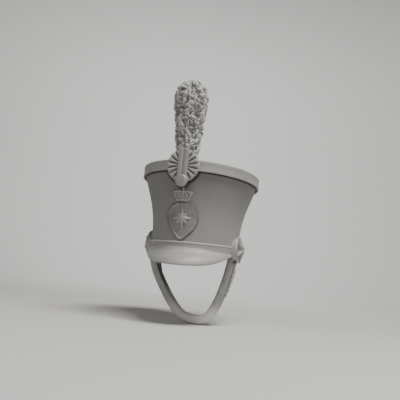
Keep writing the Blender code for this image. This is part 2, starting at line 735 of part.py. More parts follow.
def make_boss(side, name, metal):
    """A thick round boss, hollowed behind to sit on the headband, felt and strap tongue."""
    bm = bmesh.new()
    depth = BOSS_FACE - BOSS_INNER
    bmesh.ops.create_cone(bm, cap_ends=True, segments=30, radius1=BOSS_RADIUS,
                          radius2=BOSS_RADIUS, depth=depth,
                          matrix=boss_place() @ Matrix.Translation((0, 0, -depth / 2)))
    inverse = boss_place().inverted()
    rim = [e for e in bm.edges if all((inverse @ v.co).z > -1e-5 for v in e.verts)]
    bmesh.ops.bevel(bm, geom=rim, offset=0.0026, affect="EDGES", segments=2, profile=0.5,
                    material=-1)
    obj = link(name, mirror_side(bm, side), metal)
    band = 2 * GAP + HEADBAND_WALL
    bead = band + BEAD_RADIUS
    felt = GAP + 0.0001
    under = HEADBAND_HEIGHT - BEAD_RADIUS / 2 - GAP
    over = HEADBAND_HEIGHT + 1.5 * BEAD_RADIUS + GAP
    loops = [level(z, out) for z, out in
             ((-0.040, band), (under - 0.0004, band), (under, bead), (over, bead),
              (over + 0.0004, felt), (0.035, felt), (0.060, felt))]
    boolean(obj, cutter(f"{name}_saddle", skin(loops)))
    for place, depth, top in (("tongue", TONGUE_DEPTH, TONGUE_HEIGHT),
                              ("strap", STRAP_DEPTH_TOP, STRAP_TOP)):
        half = depth / 2 + GAP
        flap = STRAP_FLAP if side < 0 and place == "strap" else 0.0
        slot = box((0.070, BOSS_FORWARD - half, -0.040),
                   (TONGUE_OUTER + GAP, BOSS_FORWARD + half + flap, top + GAP))
        boolean(obj, cutter(f"{name}_{place}_slot", mirror_side(slot, side)))
    return obj


def make_boss_star(side, name, metal):
    """A faceted pyramid star on the boss's face, one arm up."""
    bm = bmesh.new()
    outline = []
    for i in range(2 * BOSS_STAR_ARMS):
        turn = pi * i / BOSS_STAR_ARMS
        radius = BOSS_STAR_WAIST if i % 2 else BOSS_RADIUS
        outline.append(bm.verts.new((-radius * cos(turn), radius * sin(turn), GAP)))
    face = bm.faces.new(outline)
    made = bmesh.ops.extrude_face_region(bm, geom=[face])["geom"]
    raised = [item for item in made if isinstance(item, bmesh.types.BMVert)]
    bmesh.ops.translate(bm, vec=(0, 0, BOSS_STAR_EDGE), verts=raised)
    top = [item for item in made if isinstance(item, bmesh.types.BMFace)]
    centre = bmesh.ops.poke(bm, faces=top)["verts"]
    bmesh.ops.translate(bm, vec=(0, 0, BOSS_STAR_RISE - BOSS_STAR_EDGE), verts=centre)
    bmesh.ops.transform(bm, matrix=boss_place(), verts=bm.verts)
    bmesh.ops.recalc_face_normals(bm, faces=bm.faces)
    return link(name, mirror_side(bm, side), metal, radians(10))


# ---------------------------------------------------------------- chin strap

def strap_curve():
    route = [Vector((row["x"], BOSS_FORWARD, row["z"])) for row in STRAP_ROUTE]
    return curve_through(route, 2)


def strap_frame(curve, i):
    """Centre and outward direction of the strap at a point of its curve."""
    along = (curve[min(i + 1, len(curve) - 1)] - curve[max(i - 1, 0)]).normalized()
    return curve[i], Vector((along.z, 0, -along.x))


def strap_thickness(z):
    share = min(max((-z - 0.095) / 0.030, 0.0), 1.0)
    return between(STRAP_THICK, STRAP_THICK_LOW, share)


def strap_depth(z):
    start, length = STRAP_TAPER
    share = min(max((-z - start) / length, 0.0), 1.0)
    return between(STRAP_DEPTH_TOP, STRAP_DEPTH, share)


def strap_flap(centre):
    """Extra depth towards the back: full at the -X leg's top, and none lower down."""
    start, length = STRAP_TAPER
    share = min(max((-centre.z - start) / length, 0.0), 1.0)
    return STRAP_FLAP * (1 - share) if centre.x < 0 else 0.0


def rounded_section(centre, out, thick, depth, flap=0.0):
    """A soft-cornered rectangle: thick along `out` and deep along Y."""
    centre = centre + Vector((0, flap / 2, 0))
    depth += flap
    points = []
    for i in range(12):
        turn = 2 * pi * (i + 0.5) / 12
        across = abs(cos(turn)) ** 0.55 * (1 if cos(turn) > 0 else -1)
        back = abs(sin(turn)) ** 0.55 * (1 if sin(turn) > 0 else -1)
        points.append(centre + out * across * thick / 2 + Vector((0, back * depth / 2, 0)))
    return points


def strap_end(side):
    """Sections from the tongue's top down to the padded roll's start at one side."""
    middle = (TONGUE_INNER + TONGUE_OUTER) / 2
    tongue = TONGUE_OUTER - TONGUE_INNER
    rows = ((TONGUE_HEIGHT, middle, tongue, TONGUE_DEPTH * 0.8, 0.0),
            (TONGUE_HEIGHT - 0.004, middle, tongue, TONGUE_DEPTH, 0.0),
            (STRAP_TOP + GAP, middle, tongue, TONGUE_DEPTH, 0.0),
            (STRAP_TOP, (ROLL_INNER + TONGUE_OUTER) / 2, TONGUE_OUTER - ROLL_INNER,
             STRAP_DEPTH_TOP, STRAP_FLAP if side < 0 else 0.0))
    return [rounded_section(Vector((side * x, BOSS_FORWARD, z)), Vector((side, 0, 0)),
                            thick, depth, flap) for z, x, thick, depth, flap in rows]


def make_chin_strap(leather):
    curve = strap_curve()
    sections = strap_end(-1)
    for i in range(len(curve)):
        centre, out = strap_frame(curve, i)
        sections.append(rounded_section(centre, out, strap_thickness(centre.z),
                                        strap_depth(centre.z), strap_flap(centre)))
    sections += reversed(strap_end(1))
    return link("chin_strap", skin(sections), leather)


def make_chin_scales(metal):
    """Overlapping scales down the +X leg's outer face, each lifting at its lower edge."""
    curve = list(reversed(strap_curve()))
    lengths = [0.0]
    for before, after in zip(curve, curve[1:]):
        lengths.append(lengths[-1] + (after - before).length)
    start = -curve[0].z

    def place(distance):
        """Point of the strap's outer face at a distance down the leg, and the way out."""
        distance -= start
        i = max(j for j, length in enumerate(lengths[:-1]) if length <= max(distance, 0.0))
        share = (distance - lengths[i]) / (lengths[i + 1] - lengths[i])
        along = (curve[i + 1] - curve[i]).normalized()
        out = Vector((-along.z, 0, along.x))
        centre = curve[i].lerp(curve[i + 1], share)
        return centre + out * (strap_thickness(centre.z) / 2 + 2 * GAP), out

    sections = []
    for scale in range(SCALES):
        for end, thick in ((0, 0.0008), (1, 0.0018)):
            share = (scale + end) / SCALES
            width = between(SCALE_WIDTH_HIGH, SCALE_WIDTH_LOW, share)
            base = SCALE_FIRST + SCALE_PITCH * (scale + end * 0.985)
            points = []
            for across, rise in ((-0.5, 0.0), (0.0, 0.0), (0.5, 0.0), (0.42, 0.62),
                                 (0.0, 1.0), (-0.42, 0.62)):
                point, out = place(base + 0.0022 * (0.25 - across ** 2) * 4)
                points.append(point + out * thick * rise + Vector((0, across * width, 0)))
            sections.append(points)
    return link("chin_scales", skin(sections), metal)


def main():
    clear_scene()
    felt = material("felt", (0.36, 0.35, 0.34), 0.90)
    leather = material("leather", (0.42, 0.41, 0.39), 0.55)
    cloth = material("pleated_cloth", (0.44, 0.43, 0.41), 0.75)
    wool = material("wool", (0.46, 0.45, 0.43), 0.95)
    metal = material("plate_metal", (0.50, 0.49, 0.47), 0.45, 0.6)
    make_crown_body(felt)
    make_crown_top(leather)
    make_top_band(leather)
    make_headband(leather)
    make_peak(leather)
    make_cockade_base(leather)
    make_cockade(cloth)
    make_cockade_loop(cloth)
    make_button(metal)
    make_plume(wool)
    make_plume_stem(metal)
    make_shield_plate(metal)
    make_shield_star(metal)
    make_plate_crown(metal)
    make_chin_strap(leather)
    make_chin_scales(metal)
    for side, name in ((-1, "right"), (1, "left")):
        make_boss(side, f"boss_{name}", metal)
        make_boss_star(side, f"boss_star_{name}", metal)


main()
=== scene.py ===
"""Looks of the shako: felt, leather, pleated ribbon, curled wool and dull metal, in its own frame."""
from math import atan2, cos, exp, hypot, pi, radians, sin, sqrt, tanh

import bmesh
import bpy
from mathutils import Matrix, Vector, noise


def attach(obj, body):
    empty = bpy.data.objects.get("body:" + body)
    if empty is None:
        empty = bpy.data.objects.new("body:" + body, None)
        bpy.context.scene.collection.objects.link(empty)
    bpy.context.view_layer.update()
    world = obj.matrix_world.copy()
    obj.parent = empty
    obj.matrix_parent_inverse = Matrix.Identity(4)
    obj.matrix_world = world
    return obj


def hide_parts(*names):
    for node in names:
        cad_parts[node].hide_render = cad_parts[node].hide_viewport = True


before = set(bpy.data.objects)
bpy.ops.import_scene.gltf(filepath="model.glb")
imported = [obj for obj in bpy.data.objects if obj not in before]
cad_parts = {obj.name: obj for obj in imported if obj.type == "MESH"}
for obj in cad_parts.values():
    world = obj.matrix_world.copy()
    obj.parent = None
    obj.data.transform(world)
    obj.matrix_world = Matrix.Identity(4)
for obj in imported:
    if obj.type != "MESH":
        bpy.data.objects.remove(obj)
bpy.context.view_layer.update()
noise.seed_set(6)                # the wool curls alike each time


def named_rows(columns, *rows):
    """A table whose columns are named once. Its rows are read by those names."""
    return [dict(zip(columns, row)) for row in rows]


GAP = 0.0003                     # clearance between neighbouring pieces
ROUND_STEPS = 144                # faces round the crown

# crown, half sizes of the felt's outer face
RIM_HALF_WIDTH = 0.0916
RIM_HALF_DEPTH = 0.1020
FELT_WALL = 0.003
FLARE_START = 0.032
FLARE_FULL = 0.115
FLARE_SLOPE = 0.35
DEPTH_SHARE = 0.767
TOP_HEIGHT = 0.1695
TOP_TILT = 0.0724
HEADBAND_HEIGHT = 0.0192
HEADBAND_WALL = 0.0011
BEAD_RADIUS = 0.0013
TOP_BAND_HEIGHT = 0.0210
TOP_BAND_OUT = 0.0060
TOP_LEATHER = 0.0026
TOP_SINK = 0.0015
SKIRT_SHORT = 0.0050
BAND_LOWER = TOP_HEIGHT - TOP_BAND_HEIGHT
FELT_UNEVEN = (22.0, 0.00022)    # noise scale per metre, and depth
BAND_UNEVEN = (30.0, 0.00018)
CAP_UNEVEN = (28.0, 0.00035)
CAP_SAG = 0.0007

# peak
PEAK_REACH = 0.0286
PEAK_SLOPE = radians(43.8)
PEAK_SIDE_SLOPE = radians(27)
PEAK_SWEEP = radians(71)
PEAK_TAPER_SWEEP = radians(93)
PEAK_TAPER_POWER = 2.85
PEAK_LEATHER = 0.0028
PEAK_LIP = 0.0028
PEAK_ROOT = 0.0046
PEAK_DROOP = radians(30)
PEAK_KNEE = 0.40
PEAK_TURNED_UP = 0.0060          # height of the root's edge, or at most this share of the reach
PEAK_TURNED_SHARE = 0.26
PEAK_STITCHES = 64

# cockade, loop, button and plume
COCKADE_HEIGHT = 0.1657
COCKADE_RADIUS = 0.0330
COCKADE_BACK = -0.1200
COCKADE_FACE = -0.1312
PLEATS = 16
PLEAT_DEPTH = 0.0030
PLEAT_GROOVE = 0.0056            # width of the grooves between the pleats
PLEAT_CREST = 0.0014             # how far each pleat bulges along its middle
ROSETTE_THICK = 0.0048
ROSETTE_BORDER = 0.0026
ROSETTE_ROLL = 0.0040            # how far back its border rolls
LOOP_WIDTH = 0.0214
LOOP_THICK = 0.0026
LOOP_CREST_THICK = 0.0009
LOOP_REACH = 0.0080
LOOP_FOOT = 0.1335
CORD_MIDDLE = 0.53               # a cord's middle and half width, as shares of the loop's half
CORD_HALF = 0.47
CORD_VALLEY = 0.42               # how far the hollow between the cords is filled
BUTTON_SIDE = 0.0030
BUTTON_HEIGHT = 0.1345
BUTTON_RADIUS = 0.0120
BUTTON_THICK = 0.0105
PLUME_CROWN = 0.90               # share of the height where the plume starts to round over
PLUME_CROWN_SUNK = 0.0020
PLUME_UNEVEN = 0.0022
CURL_DEPTH = 0.0043
COARSE_CURLS = (150.0, 105.0)    # noise scales per metre, here at the foot and at the top
MIDDLE_CURLS = 230.0
FINE_CURLS = 430.0
CURL_PITS = 170.0
CURL_SWIRL = 60.0
PLUME_BASE = Vector((-0.0015, -0.1090, 0.1700))
PLUME_TOP = Vector((-0.0025, -0.1170, 0.3405))
PLUME_PROFILE = named_rows(
    ("up", "radius"),
    (0.0000, 0.0165),
    (0.0150, 0.0192),
    (0.0350, 0.0220),
    (0.0520, 0.0238),
    (0.0680, 0.0254),
    (0.0840, 0.0270),
    (0.1000, 0.0288),
    (0.1160, 0.0302),
    (0.1320, 0.0310),
    (0.1430, 0.0296),
    (0.1510, 0.0268),
    (0.1580, 0.0226),
    (0.1640, 0.0165),
    (0.1680, 0.0080),
)

# shield, drawn flat in x and z before it is laid on the crown
SHIELD_OUTLINE = named_rows(
    ("left", "right", "z"),
    (-0.0112, 0.0147, 0.0980),
    (-0.0252, 0.0240, 0.0905),
    (-0.0324, 0.0294, 0.0800),
    (-0.0348, 0.0320, 0.0690),
    (-0.0334, 0.0312, 0.0600),
    (-0.0284, 0.0272, 0.0505),
    (-0.0226, 0.0222, 0.0420),
    (-0.0082, 0.0062, 0.0260),
)
SHIELD_TIP = (-0.0006, 0.0220)
SHIELD_BASE = 0.0013
SHIELD_RIM = 0.0016
SHIELD_BEAD = 0.0036
PLATE_OUT = 0.0004
DROP_RADIUS = 0.0022
DROP_HEIGHT = 0.0955
DROP_PLACES = (-0.0062, 0.0022)

# chin strap
BOSS_FORWARD = -0.0090
STRAP_DEPTH_TOP = 0.0310
STRAP_DEPTH = 0.0240
STRAP_FLAP = 0.0120
STRAP_TAPER = (0.0120, 0.0350)   # depth below the rim, and the length over which it changes
STRAP_THICKENS = (0.095, 0.030)
STRAP_THICK = 0.0178
STRAP_THICK_LOW = 0.0186
STRAP_TOP = -0.0006
STRAP_SQUARE = 0.62              # 1 makes its section an oval, and less makes it squarer
SEAM_WIDTH = 0.16                # in radians round the section
SEAM_DEPTH = 0.0013
SEAM_PULL = 0.0004               # how much deeper its puckers are
WRINKLE_DEPTH = 0.00030
TONGUE_INNER = 0.0943
TONGUE_OUTER = 0.0963
TONGUE_HEIGHT = 0.0340
TONGUE_DEPTH = 0.0220
ROLL_INNER = 0.0768
SCALES = 6
SCALE_PITCH = 0.0096
SCALE_FIRST = 0.0200
SCALE_WIDTH_HIGH = 0.0200
SCALE_WIDTH_LOW = 0.0130
SCALE_SHEET = 0.0006
SCALE_LAP = 0.0022               # about how far the free end's middle passes its sides
SCALE_LIFT = 0.0024              # how far the free end stands off the strap
SCALE_FALL = 0.0009              # how far the sides fall towards the strap
STRAP_ROUTE = named_rows(
    ("x", "z"),
    (-0.0862, -0.0100),
    (-0.0818, -0.0262),
    (-0.0745, -0.0455),
    (-0.0651, -0.0622),
    (-0.0550, -0.0777),
    (-0.0450, -0.0927),
    (-0.0359, -0.1043),
    (-0.0243, -0.1174),
    (-0.0115, -0.1273),
    (0.0030, -0.1321),
    (0.0180, -0.1331),
    (0.0315, -0.1324),
    (0.0413, -0.1281),
    (0.0495, -0.1193),
    (0.0580, -0.1035),
    (0.0646, -0.0880),
    (0.0702, -0.0720),
    (0.0757, -0.0520),
    (0.0812, -0.0300),
    (0.0848, -0.0100),
)

# painted shade, painted light and a darker leg, each from where it is full or starts to where it fades
# or ends
BAND_SHADOW_LINE = (BAND_LOWER - 0.0034, BAND_LOWER + 0.0002)
TOP_SHADE_LEVELS = (0.040, 0.135)
RING_FADE = (0.0010, 0.0065)     # out from the edge of the piece in front
RING_FRONT = (-0.105, -0.100)    # the rings lie on the front of the crown alone
COCKADE_SHADOW_RING = (-0.0035, COCKADE_HEIGHT + 0.0015)
BUTTON_SHADOW_RING = (BUTTON_SIDE - 0.0065, BUTTON_HEIGHT + 0.0035)
BEAD_HIGHLIGHT = (0.0012, 0.0024)     # from the middle of the headband's bead
FOOT_PAINTED_LIGHT = (-0.124, -0.092)
DARKER_LEG_SIDES = (0.030, 0.060)
DARKER_LEG_HEIGHTS = (-0.115, -0.085)
INNER_SHADE = (-0.112, 0.045)    # lowest point, and the length over which it darkens
NOTCH_DEPTH = 0.0130
NOTCH_FADE = 0.0040

# camera at the photograph's viewing angle, in the hat's frame
CAMERA_LENS = 50.0
CAMERA_DISTANCE = 1.18645
CAMERA_HEIGHT = -0.02193
CAMERA_AZIMUTH = radians(16.5)
CAMERA_YAW = radians(16.45)
CAMERA_PITCH = radians(6.67)
CAMERA_ROLL = radians(5.516)
FLOOR = -0.1432


# ---------------- materials

class Field:
    """A shader output that can be written into sums and products."""

    def __init__(self, finish, socket):
        self.finish, self.socket = finish, socket

    def __add__(self, other):
        return self.finish.math("ADD", self, other)

    __radd__ = __add__

    def __mul__(self, other):
        return self.finish.math("MULTIPLY", self, other)

    __rmul__ = __mul__

    def __sub__(self, other):
        return self.finish.math("SUBTRACT", self, other)

    def __rsub__(self, other):
        return self.finish.math("SUBTRACT", other, self)

    def __pow__(self, other):
        return self.finish.math("POWER", self, other)

    def sine(self):
        return self.finish.math("SINE", self, None)

    def size(self):
        return self.finish.math("ABSOLUTE", self, None)

    def smooth(self, low, high):
        """0 below low, 1 above high and a soft ramp between."""
        return self.finish.node("ShaderNodeMapRange", {"interpolation_type": "SMOOTHSTEP"},
                                {"Value": self, "From Min": low, "From Max": high})


class Finish:
    """One material. Nodes come from node(), and constants sit on the shader's own sockets."""

    def __init__(self, name, slot, gloss, sheen=0.0, sheen_roughness=0.5):
        self.material = bpy.data.materials.new(name)
        self.material.use_nodes = True
        self.tree = self.material.node_tree
        self.shader = self.tree.nodes["Principled BSDF"]
        self.slot = slot
        for socket, value in (("Specular IOR Level", gloss), ("Sheen Weight", sheen),
                              ("Sheen Roughness", sheen_roughness)):
            self.shader.inputs[socket].default_value = value
        self.place = self.node("ShaderNodeTexCoord", {}, {}, "Object")

    def node(self, kind, settings, sockets, output=0):
        made = self.tree.nodes.new(kind)
        for key, value in settings.items():
            if key == "stops":
                self.set_stops(made.color_ramp, value)
            else:
                setattr(made, key, value)
        for key, value in sockets.items():
            if isinstance(value, Field):
                self.tree.links.new(value.socket, made.inputs[key])
            elif value is not None:
                made.inputs[key].default_value = value
        return Field(self, made.outputs[output])

    def set_stops(self, ramp, stops):
        while len(ramp.elements) < len(stops):
            ramp.elements.new(0.5)
        for element, (at, color) in zip(ramp.elements, stops):
            element.position = at
            element.color = (*color, 1.0)

    def math(self, operation, a, b):
        return self.node("ShaderNodeMath", {"operation": operation}, {0: a, 1: b})

    def axis(self, name, source=None):
        return self.node("ShaderNodeSeparateXYZ", {}, {0: source or self.place}, name)

    def stretched(self, scale):
        """The place with a different scale along each axis."""
        return self.node("ShaderNodeMapping", {}, {"Vector": self.place, "Scale": scale})

    def cloud(self, scale, detail=3.0, roughness=0.5, place=None, distortion=0.0):
        return self.node("ShaderNodeTexNoise", {}, {
            "Vector": place or self.place, "Scale": scale, "Detail": detail,
            "Roughness": roughness, "Distortion": distortion})

    def cells(self, scale, feature="F1"):
        return self.node("ShaderNodeTexVoronoi", {"feature": feature},
                         {"Vector": self.place, "Scale": scale}, "Distance")

    def edges(self):
        """Above a half on outward edges and below it in hollows."""
        return self.node("ShaderNodeNewGeometry", {}, {}, "Pointiness")

    def attribute(self, name):
        return self.node("ShaderNodeAttribute", {"attribute_name": name}, {}, "Fac")

    def colors(self, value, stops):
        return self.node("ShaderNodeValToRGB", {"stops": stops}, {0: value})

    def blend(self, low, high, share):
        """A colour between two colours."""
        low, high = [color if isinstance(color, Field) else (*color, 1.0) for color in (low, high)]
        return self.node("ShaderNodeMix", {"data_type": "RGBA"}, {"Factor": share, 6: low, 7: high}, 2)

    def painted_shade(self, uneven):
        """Painted shade on the felt: a dark line below the top band, darkening towards the top, and
        rings of painted shadow behind two pieces.
        """
        across, forward, up = [self.axis(name) for name in ("X", "Y", "Z")]
        level = up + forward * TOP_TILT
        # painted shadow in a line just below the top band's lower edge
        line = (level + uneven * 0.0006).smooth(*BAND_SHADOW_LINE) * 0.90
        # painted shade darkening the crown towards its top
        top_shade = level.smooth(*TOP_SHADE_LEVELS) * 0.22
        in_front = 1 - forward.smooth(*RING_FRONT)
        unshaded = (1 - line) * (1 - top_shade)
        # rings of painted shadow on the felt round the cockade and the button
        for (x, z), radius in ((COCKADE_SHADOW_RING, COCKADE_RADIUS), (BUTTON_SHADOW_RING, BUTTON_RADIUS)):
            side, rise = across - x, up - z
            away = (side * side + rise * rise) ** 0.5
            ring = 1 - away.smooth(*[radius + fade for fade in RING_FADE])
            unshaded = unshaded * (1 - ring * in_front * 0.92)
        return 1 - unshaded

    def feed(self, color, roughness, height, depth, metallic=None):
        """Link what varies over the surface. The height is a bump, with its depth in metres."""
        normal = self.node("ShaderNodeBump", {}, {"Height": height, "Distance": depth,
                                                  "Strength": 1.0})
        for socket, value in (("Base Color", color), ("Roughness", roughness),
                              ("Normal", normal), ("Metallic", metallic)):
            if value is not None:
                self.tree.links.new(value.socket, self.shader.inputs[socket])
        return self


def toned(color, factor):
    """The same colour, lighter or darker."""
    return [channel * factor for channel in color]


def make_felt():
    """Pressed wool felt: matted fibres, short threads and small pills, with painted shade in places.
    """
    finish = Finish("felt", "felt", 0.30, sheen=0.10, sheen_roughness=0.6)
    soft = finish.cloud(26.0, 3.0, 0.55)
    fibres = finish.cloud(900.0, 5.0, 0.65, distortion=1.2)
    threads = finish.cloud(260.0, 4.0, 0.6, place=finish.stretched((1.0, 1.0, 3.0)))
    pills = finish.cells(420.0).smooth(0.12, 0.55)
    tone = soft * 0.25 + fibres * 0.45 + threads * 0.30
    color = finish.colors(tone, [(0.30, (0.200, 0.196, 0.187)), (0.52, (0.226, 0.221, 0.212)),
                                 (0.74, (0.252, 0.247, 0.237))])
    # near-black painted shade on the felt
    color = finish.blend(color, (0.035, 0.034, 0.032), finish.painted_shade(threads))
    height = fibres * 0.55 + threads * 0.30 + pills * 0.15
    return finish.feed(color, 0.74 + fibres * 0.22, height, 0.00042)


def make_leather(name, light, grain, roughness, gloss=0.42, stained=False, beaded=False):
    """Leather with pebbled grain, soft creases and edges made paler, partly rubbed and partly a
    painted highlight.

    Beaded, it has a painted highlight along the headband's bead. With painted shading, it gets painted
    light on the strap's foot, a darker +X leg and dark painted shade where the strap's mesh marks it.
    """
    finish = Finish(name, "leather", gloss)
    warp = finish.cloud(160.0, 2.0)
    pebbles = finish.cells(grain).smooth(0.05, 0.75)
    valleys = finish.cells(grain, "DISTANCE_TO_EDGE").smooth(0.0, 0.16)
    creases = finish.cloud(55.0, 5.0, 0.62, distortion=0.9)
    pores = finish.cloud(1400.0, 2.0)
    # outward edges paler: rubbed wear and a painted highlight
    worn_and_highlit = finish.edges().smooth(0.515, 0.60)
    dust = finish.cloud(14.0, 4.0, 0.6)
    body = finish.blend(toned(light, 0.80), light, (creases * 0.6 + dust * 0.5).smooth(0.30, 0.78))
    color = finish.blend(body, toned(light, 1.30), worn_and_highlit * 0.55 + valleys * 0.10)
    if beaded:
        # a painted highlight along the headband's bead
        from_bead = (finish.axis("Z") - (HEADBAND_HEIGHT + BEAD_RADIUS / 2)).size()
        rubbed_and_highlit = 1 - from_bead.smooth(*BEAD_HIGHLIGHT)
        color = finish.blend(color, toned(light, 1.75), rubbed_and_highlit * 0.9)
    if stained:
        # painted light on the strap's foot
        foot_light = 1 - finish.axis("Z").smooth(*FOOT_PAINTED_LIGHT)
        color = finish.blend(color, toned(light, 1.75), foot_light * 0.98)
        # the +X leg darker above its foot
        darker_leg = (finish.axis("X").smooth(*DARKER_LEG_SIDES)
                   * finish.axis("Z").smooth(*DARKER_LEG_HEIGHTS))
        color = finish.blend(color, toned(light, 0.45), darker_leg * 0.42)
        # near-black painted shade where the strap's mesh marks it
        color = finish.blend(color, toned(light, 0.10),
                             finish.attribute("stained") * (0.86 + creases * 0.14))
    height = pebbles * -0.35 + valleys * 0.40 + creases * 0.5 + pores * 0.08 + warp * 0.1
    rough = roughness + creases * 0.14 + dust * 0.08 - worn_and_highlit * 0.10
    return finish.feed(color, rough, height, 0.00020)


def make_ribbon():
    """Pleated ribbon: fine ribs across each pleat, over a slightly slubbed weave, with painted shade
    in the grooves and painted light on the crests.
    """
    finish = Finish("pleated_ribbon", "cloth", 0.35, sheen=0.12)
    across = finish.axis("X")
    up = finish.axis("Z") - COCKADE_HEIGHT
    radius = (across * across + up * up) ** 0.5
    ribs = (radius * (2 * pi / 0.00095)).sine() * 0.5 + 0.5
    slub = finish.cloud(520.0, 4.0, 0.6)
    faded = finish.cloud(38.0, 3.0)
    hollow = finish.attribute("lift")
    # painted shade in the grooves between the pleats, painted light on their crests
    color = finish.colors(hollow * 0.62 + slub * 0.18 + faded * 0.20,
                          [(0.12, (0.110, 0.107, 0.101)), (0.52, (0.195, 0.191, 0.183)),
                           (0.88, (0.310, 0.304, 0.292))])
    return finish.feed(color, 0.62 + slub * 0.25, ribs * 0.6 + slub * 0.6, 0.00016)


def make_braid():
    """Braided cord laid side by side: slanting strands that meet along each cord's middle."""
    finish = Finish("braided_cord", "cloth", 0.40, sheen=0.15, sheen_roughness=0.4)
    uv = finish.node("ShaderNodeTexCoord", {}, {}, "UV")
    along = finish.axis("Y", uv)
    side = (finish.axis("X", uv) - 0.5).size()
    strands = (along * (2 * pi / 0.0016) + side * 9.0).sine() * 0.5 + 0.5
    fuzz = finish.cloud(900.0, 3.0)
    color = finish.blend((0.190, 0.186, 0.178), (0.265, 0.259, 0.249), strands * 0.55 + fuzz * 0.4)
    return finish.feed(color, 0.58 + fuzz * 0.25, strands * 0.8 + fuzz * 0.3, 0.00018)


def make_wool():
    """Curled wool: lighter where it stands out and darker in its pits, as painted shade, and finely
    stranded.
    """
    finish = Finish("curled_wool", "wool", 0.40, sheen=0.12)
    lift = finish.attribute("lift")
    strands = finish.cloud(420.0, 5.0, 0.65, distortion=2.2,
                           place=finish.stretched((1.4, 1.4, 0.7)))
    clumps = finish.cloud(64.0, 2.0).smooth(0.34, 0.66)
    # painted shade: darker in the wool's pits, lighter where it stands out
    color = finish.colors(lift * 0.58 + strands * 0.16 + clumps * 0.26,
                          [(0.14, (0.145, 0.141, 0.133)), (0.42, (0.262, 0.256, 0.244)),
                           (0.80, (0.430, 0.422, 0.408))])
    return finish.feed(color, 0.55 + strands * 0.25, strands, 0.00035)


def make_metal(name, light, roughness, painted_relief_shading=1.0, spread=1.0):
    """Dull stamped metal: fine scratches, tarnish in the hollows and rubbed high edges. Painted relief
    shading above 1 adds painted shade in the hollows and a painted highlight on the high edges.
    """
    finish = Finish(name, "plate_metal", 0.50)
    tarnish = finish.cloud(60.0, 5.0, 0.62)
    brushed = finish.cloud(240.0, 4.0, 0.6, place=finish.stretched((0.35, 0.35, 4.0)))
    specks = finish.cloud(700.0, 2.0).smooth(0.60, 0.74)
    # high edges paler: rubbed wear, and a painted highlight when the painted relief shading is raised
    rubbed_and_highlit = finish.edges().smooth(0.504, 0.504 + 0.056 * spread)
    # hollows darker: tarnish, and painted shade when the painted relief shading is raised
    hollow = 1 - finish.edges().smooth(0.50 - 0.10 * spread, 0.50)
    shade = toned(light, 1 - 0.34 * painted_relief_shading)
    bright = toned(light, 1 + 0.26 * painted_relief_shading)
    base = finish.blend(shade, light, 0.6 + 0.4 * tarnish.smooth(0.28, 0.60))
    worn_and_highlit = finish.blend(base, bright, rubbed_and_highlit * 0.8)
    color = finish.blend(worn_and_highlit, shade, hollow * (0.35 + 0.20 * painted_relief_shading) + specks * 0.15)
    rough = roughness + tarnish * 0.16 + specks * 0.15 - rubbed_and_highlit * 0.08
    return finish.feed(color, rough, tarnish * 0.5 + brushed * 0.35 + specks * 0.2, 0.00012,
                       metallic=0.30 - hollow * 0.15)


def make_thread():
    """Pale waxed thread with a little fuzz."""
    finish = Finish("waxed_thread", "cloth", 0.40)
    fuzz = finish.cloud(1500.0, 3.0)
    color = finish.blend((0.26, 0.255, 0.24), (0.34, 0.333, 0.32), fuzz)
    return finish.feed(color, 0.55 + fuzz * 0.2, fuzz, 0.00008)


FELT = make_felt()
BAND_LEATHER = make_leather("band_leather", (0.290, 0.284, 0.272), 620.0, 0.38, gloss=0.50,
                            beaded=True)
PEAK_LEATHER_FINISH = make_leather("peak_leather", (0.350, 0.343, 0.330), 760.0, 0.24, gloss=0.72)
STRAP_LEATHER = make_leather("strap_leather", (0.345, 0.338, 0.324), 560.0, 0.45, stained=True)
RIBBON = make_ribbon()
BRAID = make_braid()
WOOL = make_wool()
# the plate and the ornament get painted shade in their hollows and painted highlights on their edges
PLATE_METAL = make_metal("plate_metal", (0.222, 0.217, 0.208), 0.36, painted_relief_shading=2.2, spread=0.5)
ORNAMENT_METAL = make_metal("ornament_metal", (0.300, 0.294, 0.282), 0.36, painted_relief_shading=2.4, spread=0.3)
STAR_METAL = make_metal("star_metal", (0.310, 0.303, 0.291), 0.36)
SCALE_METAL = make_metal("scale_metal", (0.420, 0.411, 0.396), 0.32)
BUTTON_METAL = make_metal("button_metal", (0.250, 0.245, 0.234), 0.38)
BOSS_METAL = make_metal("boss_metal", (0.310, 0.303, 0.291), 0.48)
THREAD = make_thread()
# near-black leather for the cockade's drum, as painted shade in the gap behind the rosette
DRUM_SHADE_LEATHER = make_leather("painted_shade_drum_leather", (0.040, 0.039, 0.037), 620.0, 0.50)


# ---------------- making pieces

def mesh_of(name, bm):
    mesh = bpy.data.meshes.new(name)
    bm.to_mesh(mesh)
    bm.free()
    return mesh


def new_object(name, data):
    made = bpy.data.objects.new(name, data)
    bpy.context.scene.collection.objects.link(made)
    return made


def show(name, bm, finish, replaces=(), crease=radians(40), edge=0.0):
    """A finished bmesh becomes a piece that rides on the hat, with its corners rounded by edge."""
    mesh = mesh_of(name, bm)
    mesh.shade_smooth()
    mesh.set_sharp_from_angle(angle=crease)
    mesh.materials.append(finish.material)
    piece = new_object(name, mesh)
    if edge:
        step = piece.modifiers.new("soft_edges", "BEVEL")
        step.width, step.segments = edge, 3
        step.limit_method, step.angle_limit = "ANGLE", radians(20)
        step.harden_normals = True
    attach(piece, "root")
    if replaces:
        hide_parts(*replaces)
    return piece


def copy_of(node):
    """A node's solid, with its loose triangles joined."""
    bm = bmesh.new()
    bm.from_mesh(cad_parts[node].data)
    bmesh.ops.remove_doubles(bm, verts=bm.verts, dist=2e-6)
    bmesh.ops.dissolve_limit(bm, angle_limit=radians(0.5), verts=bm.verts, edges=bm.edges)
    return bm


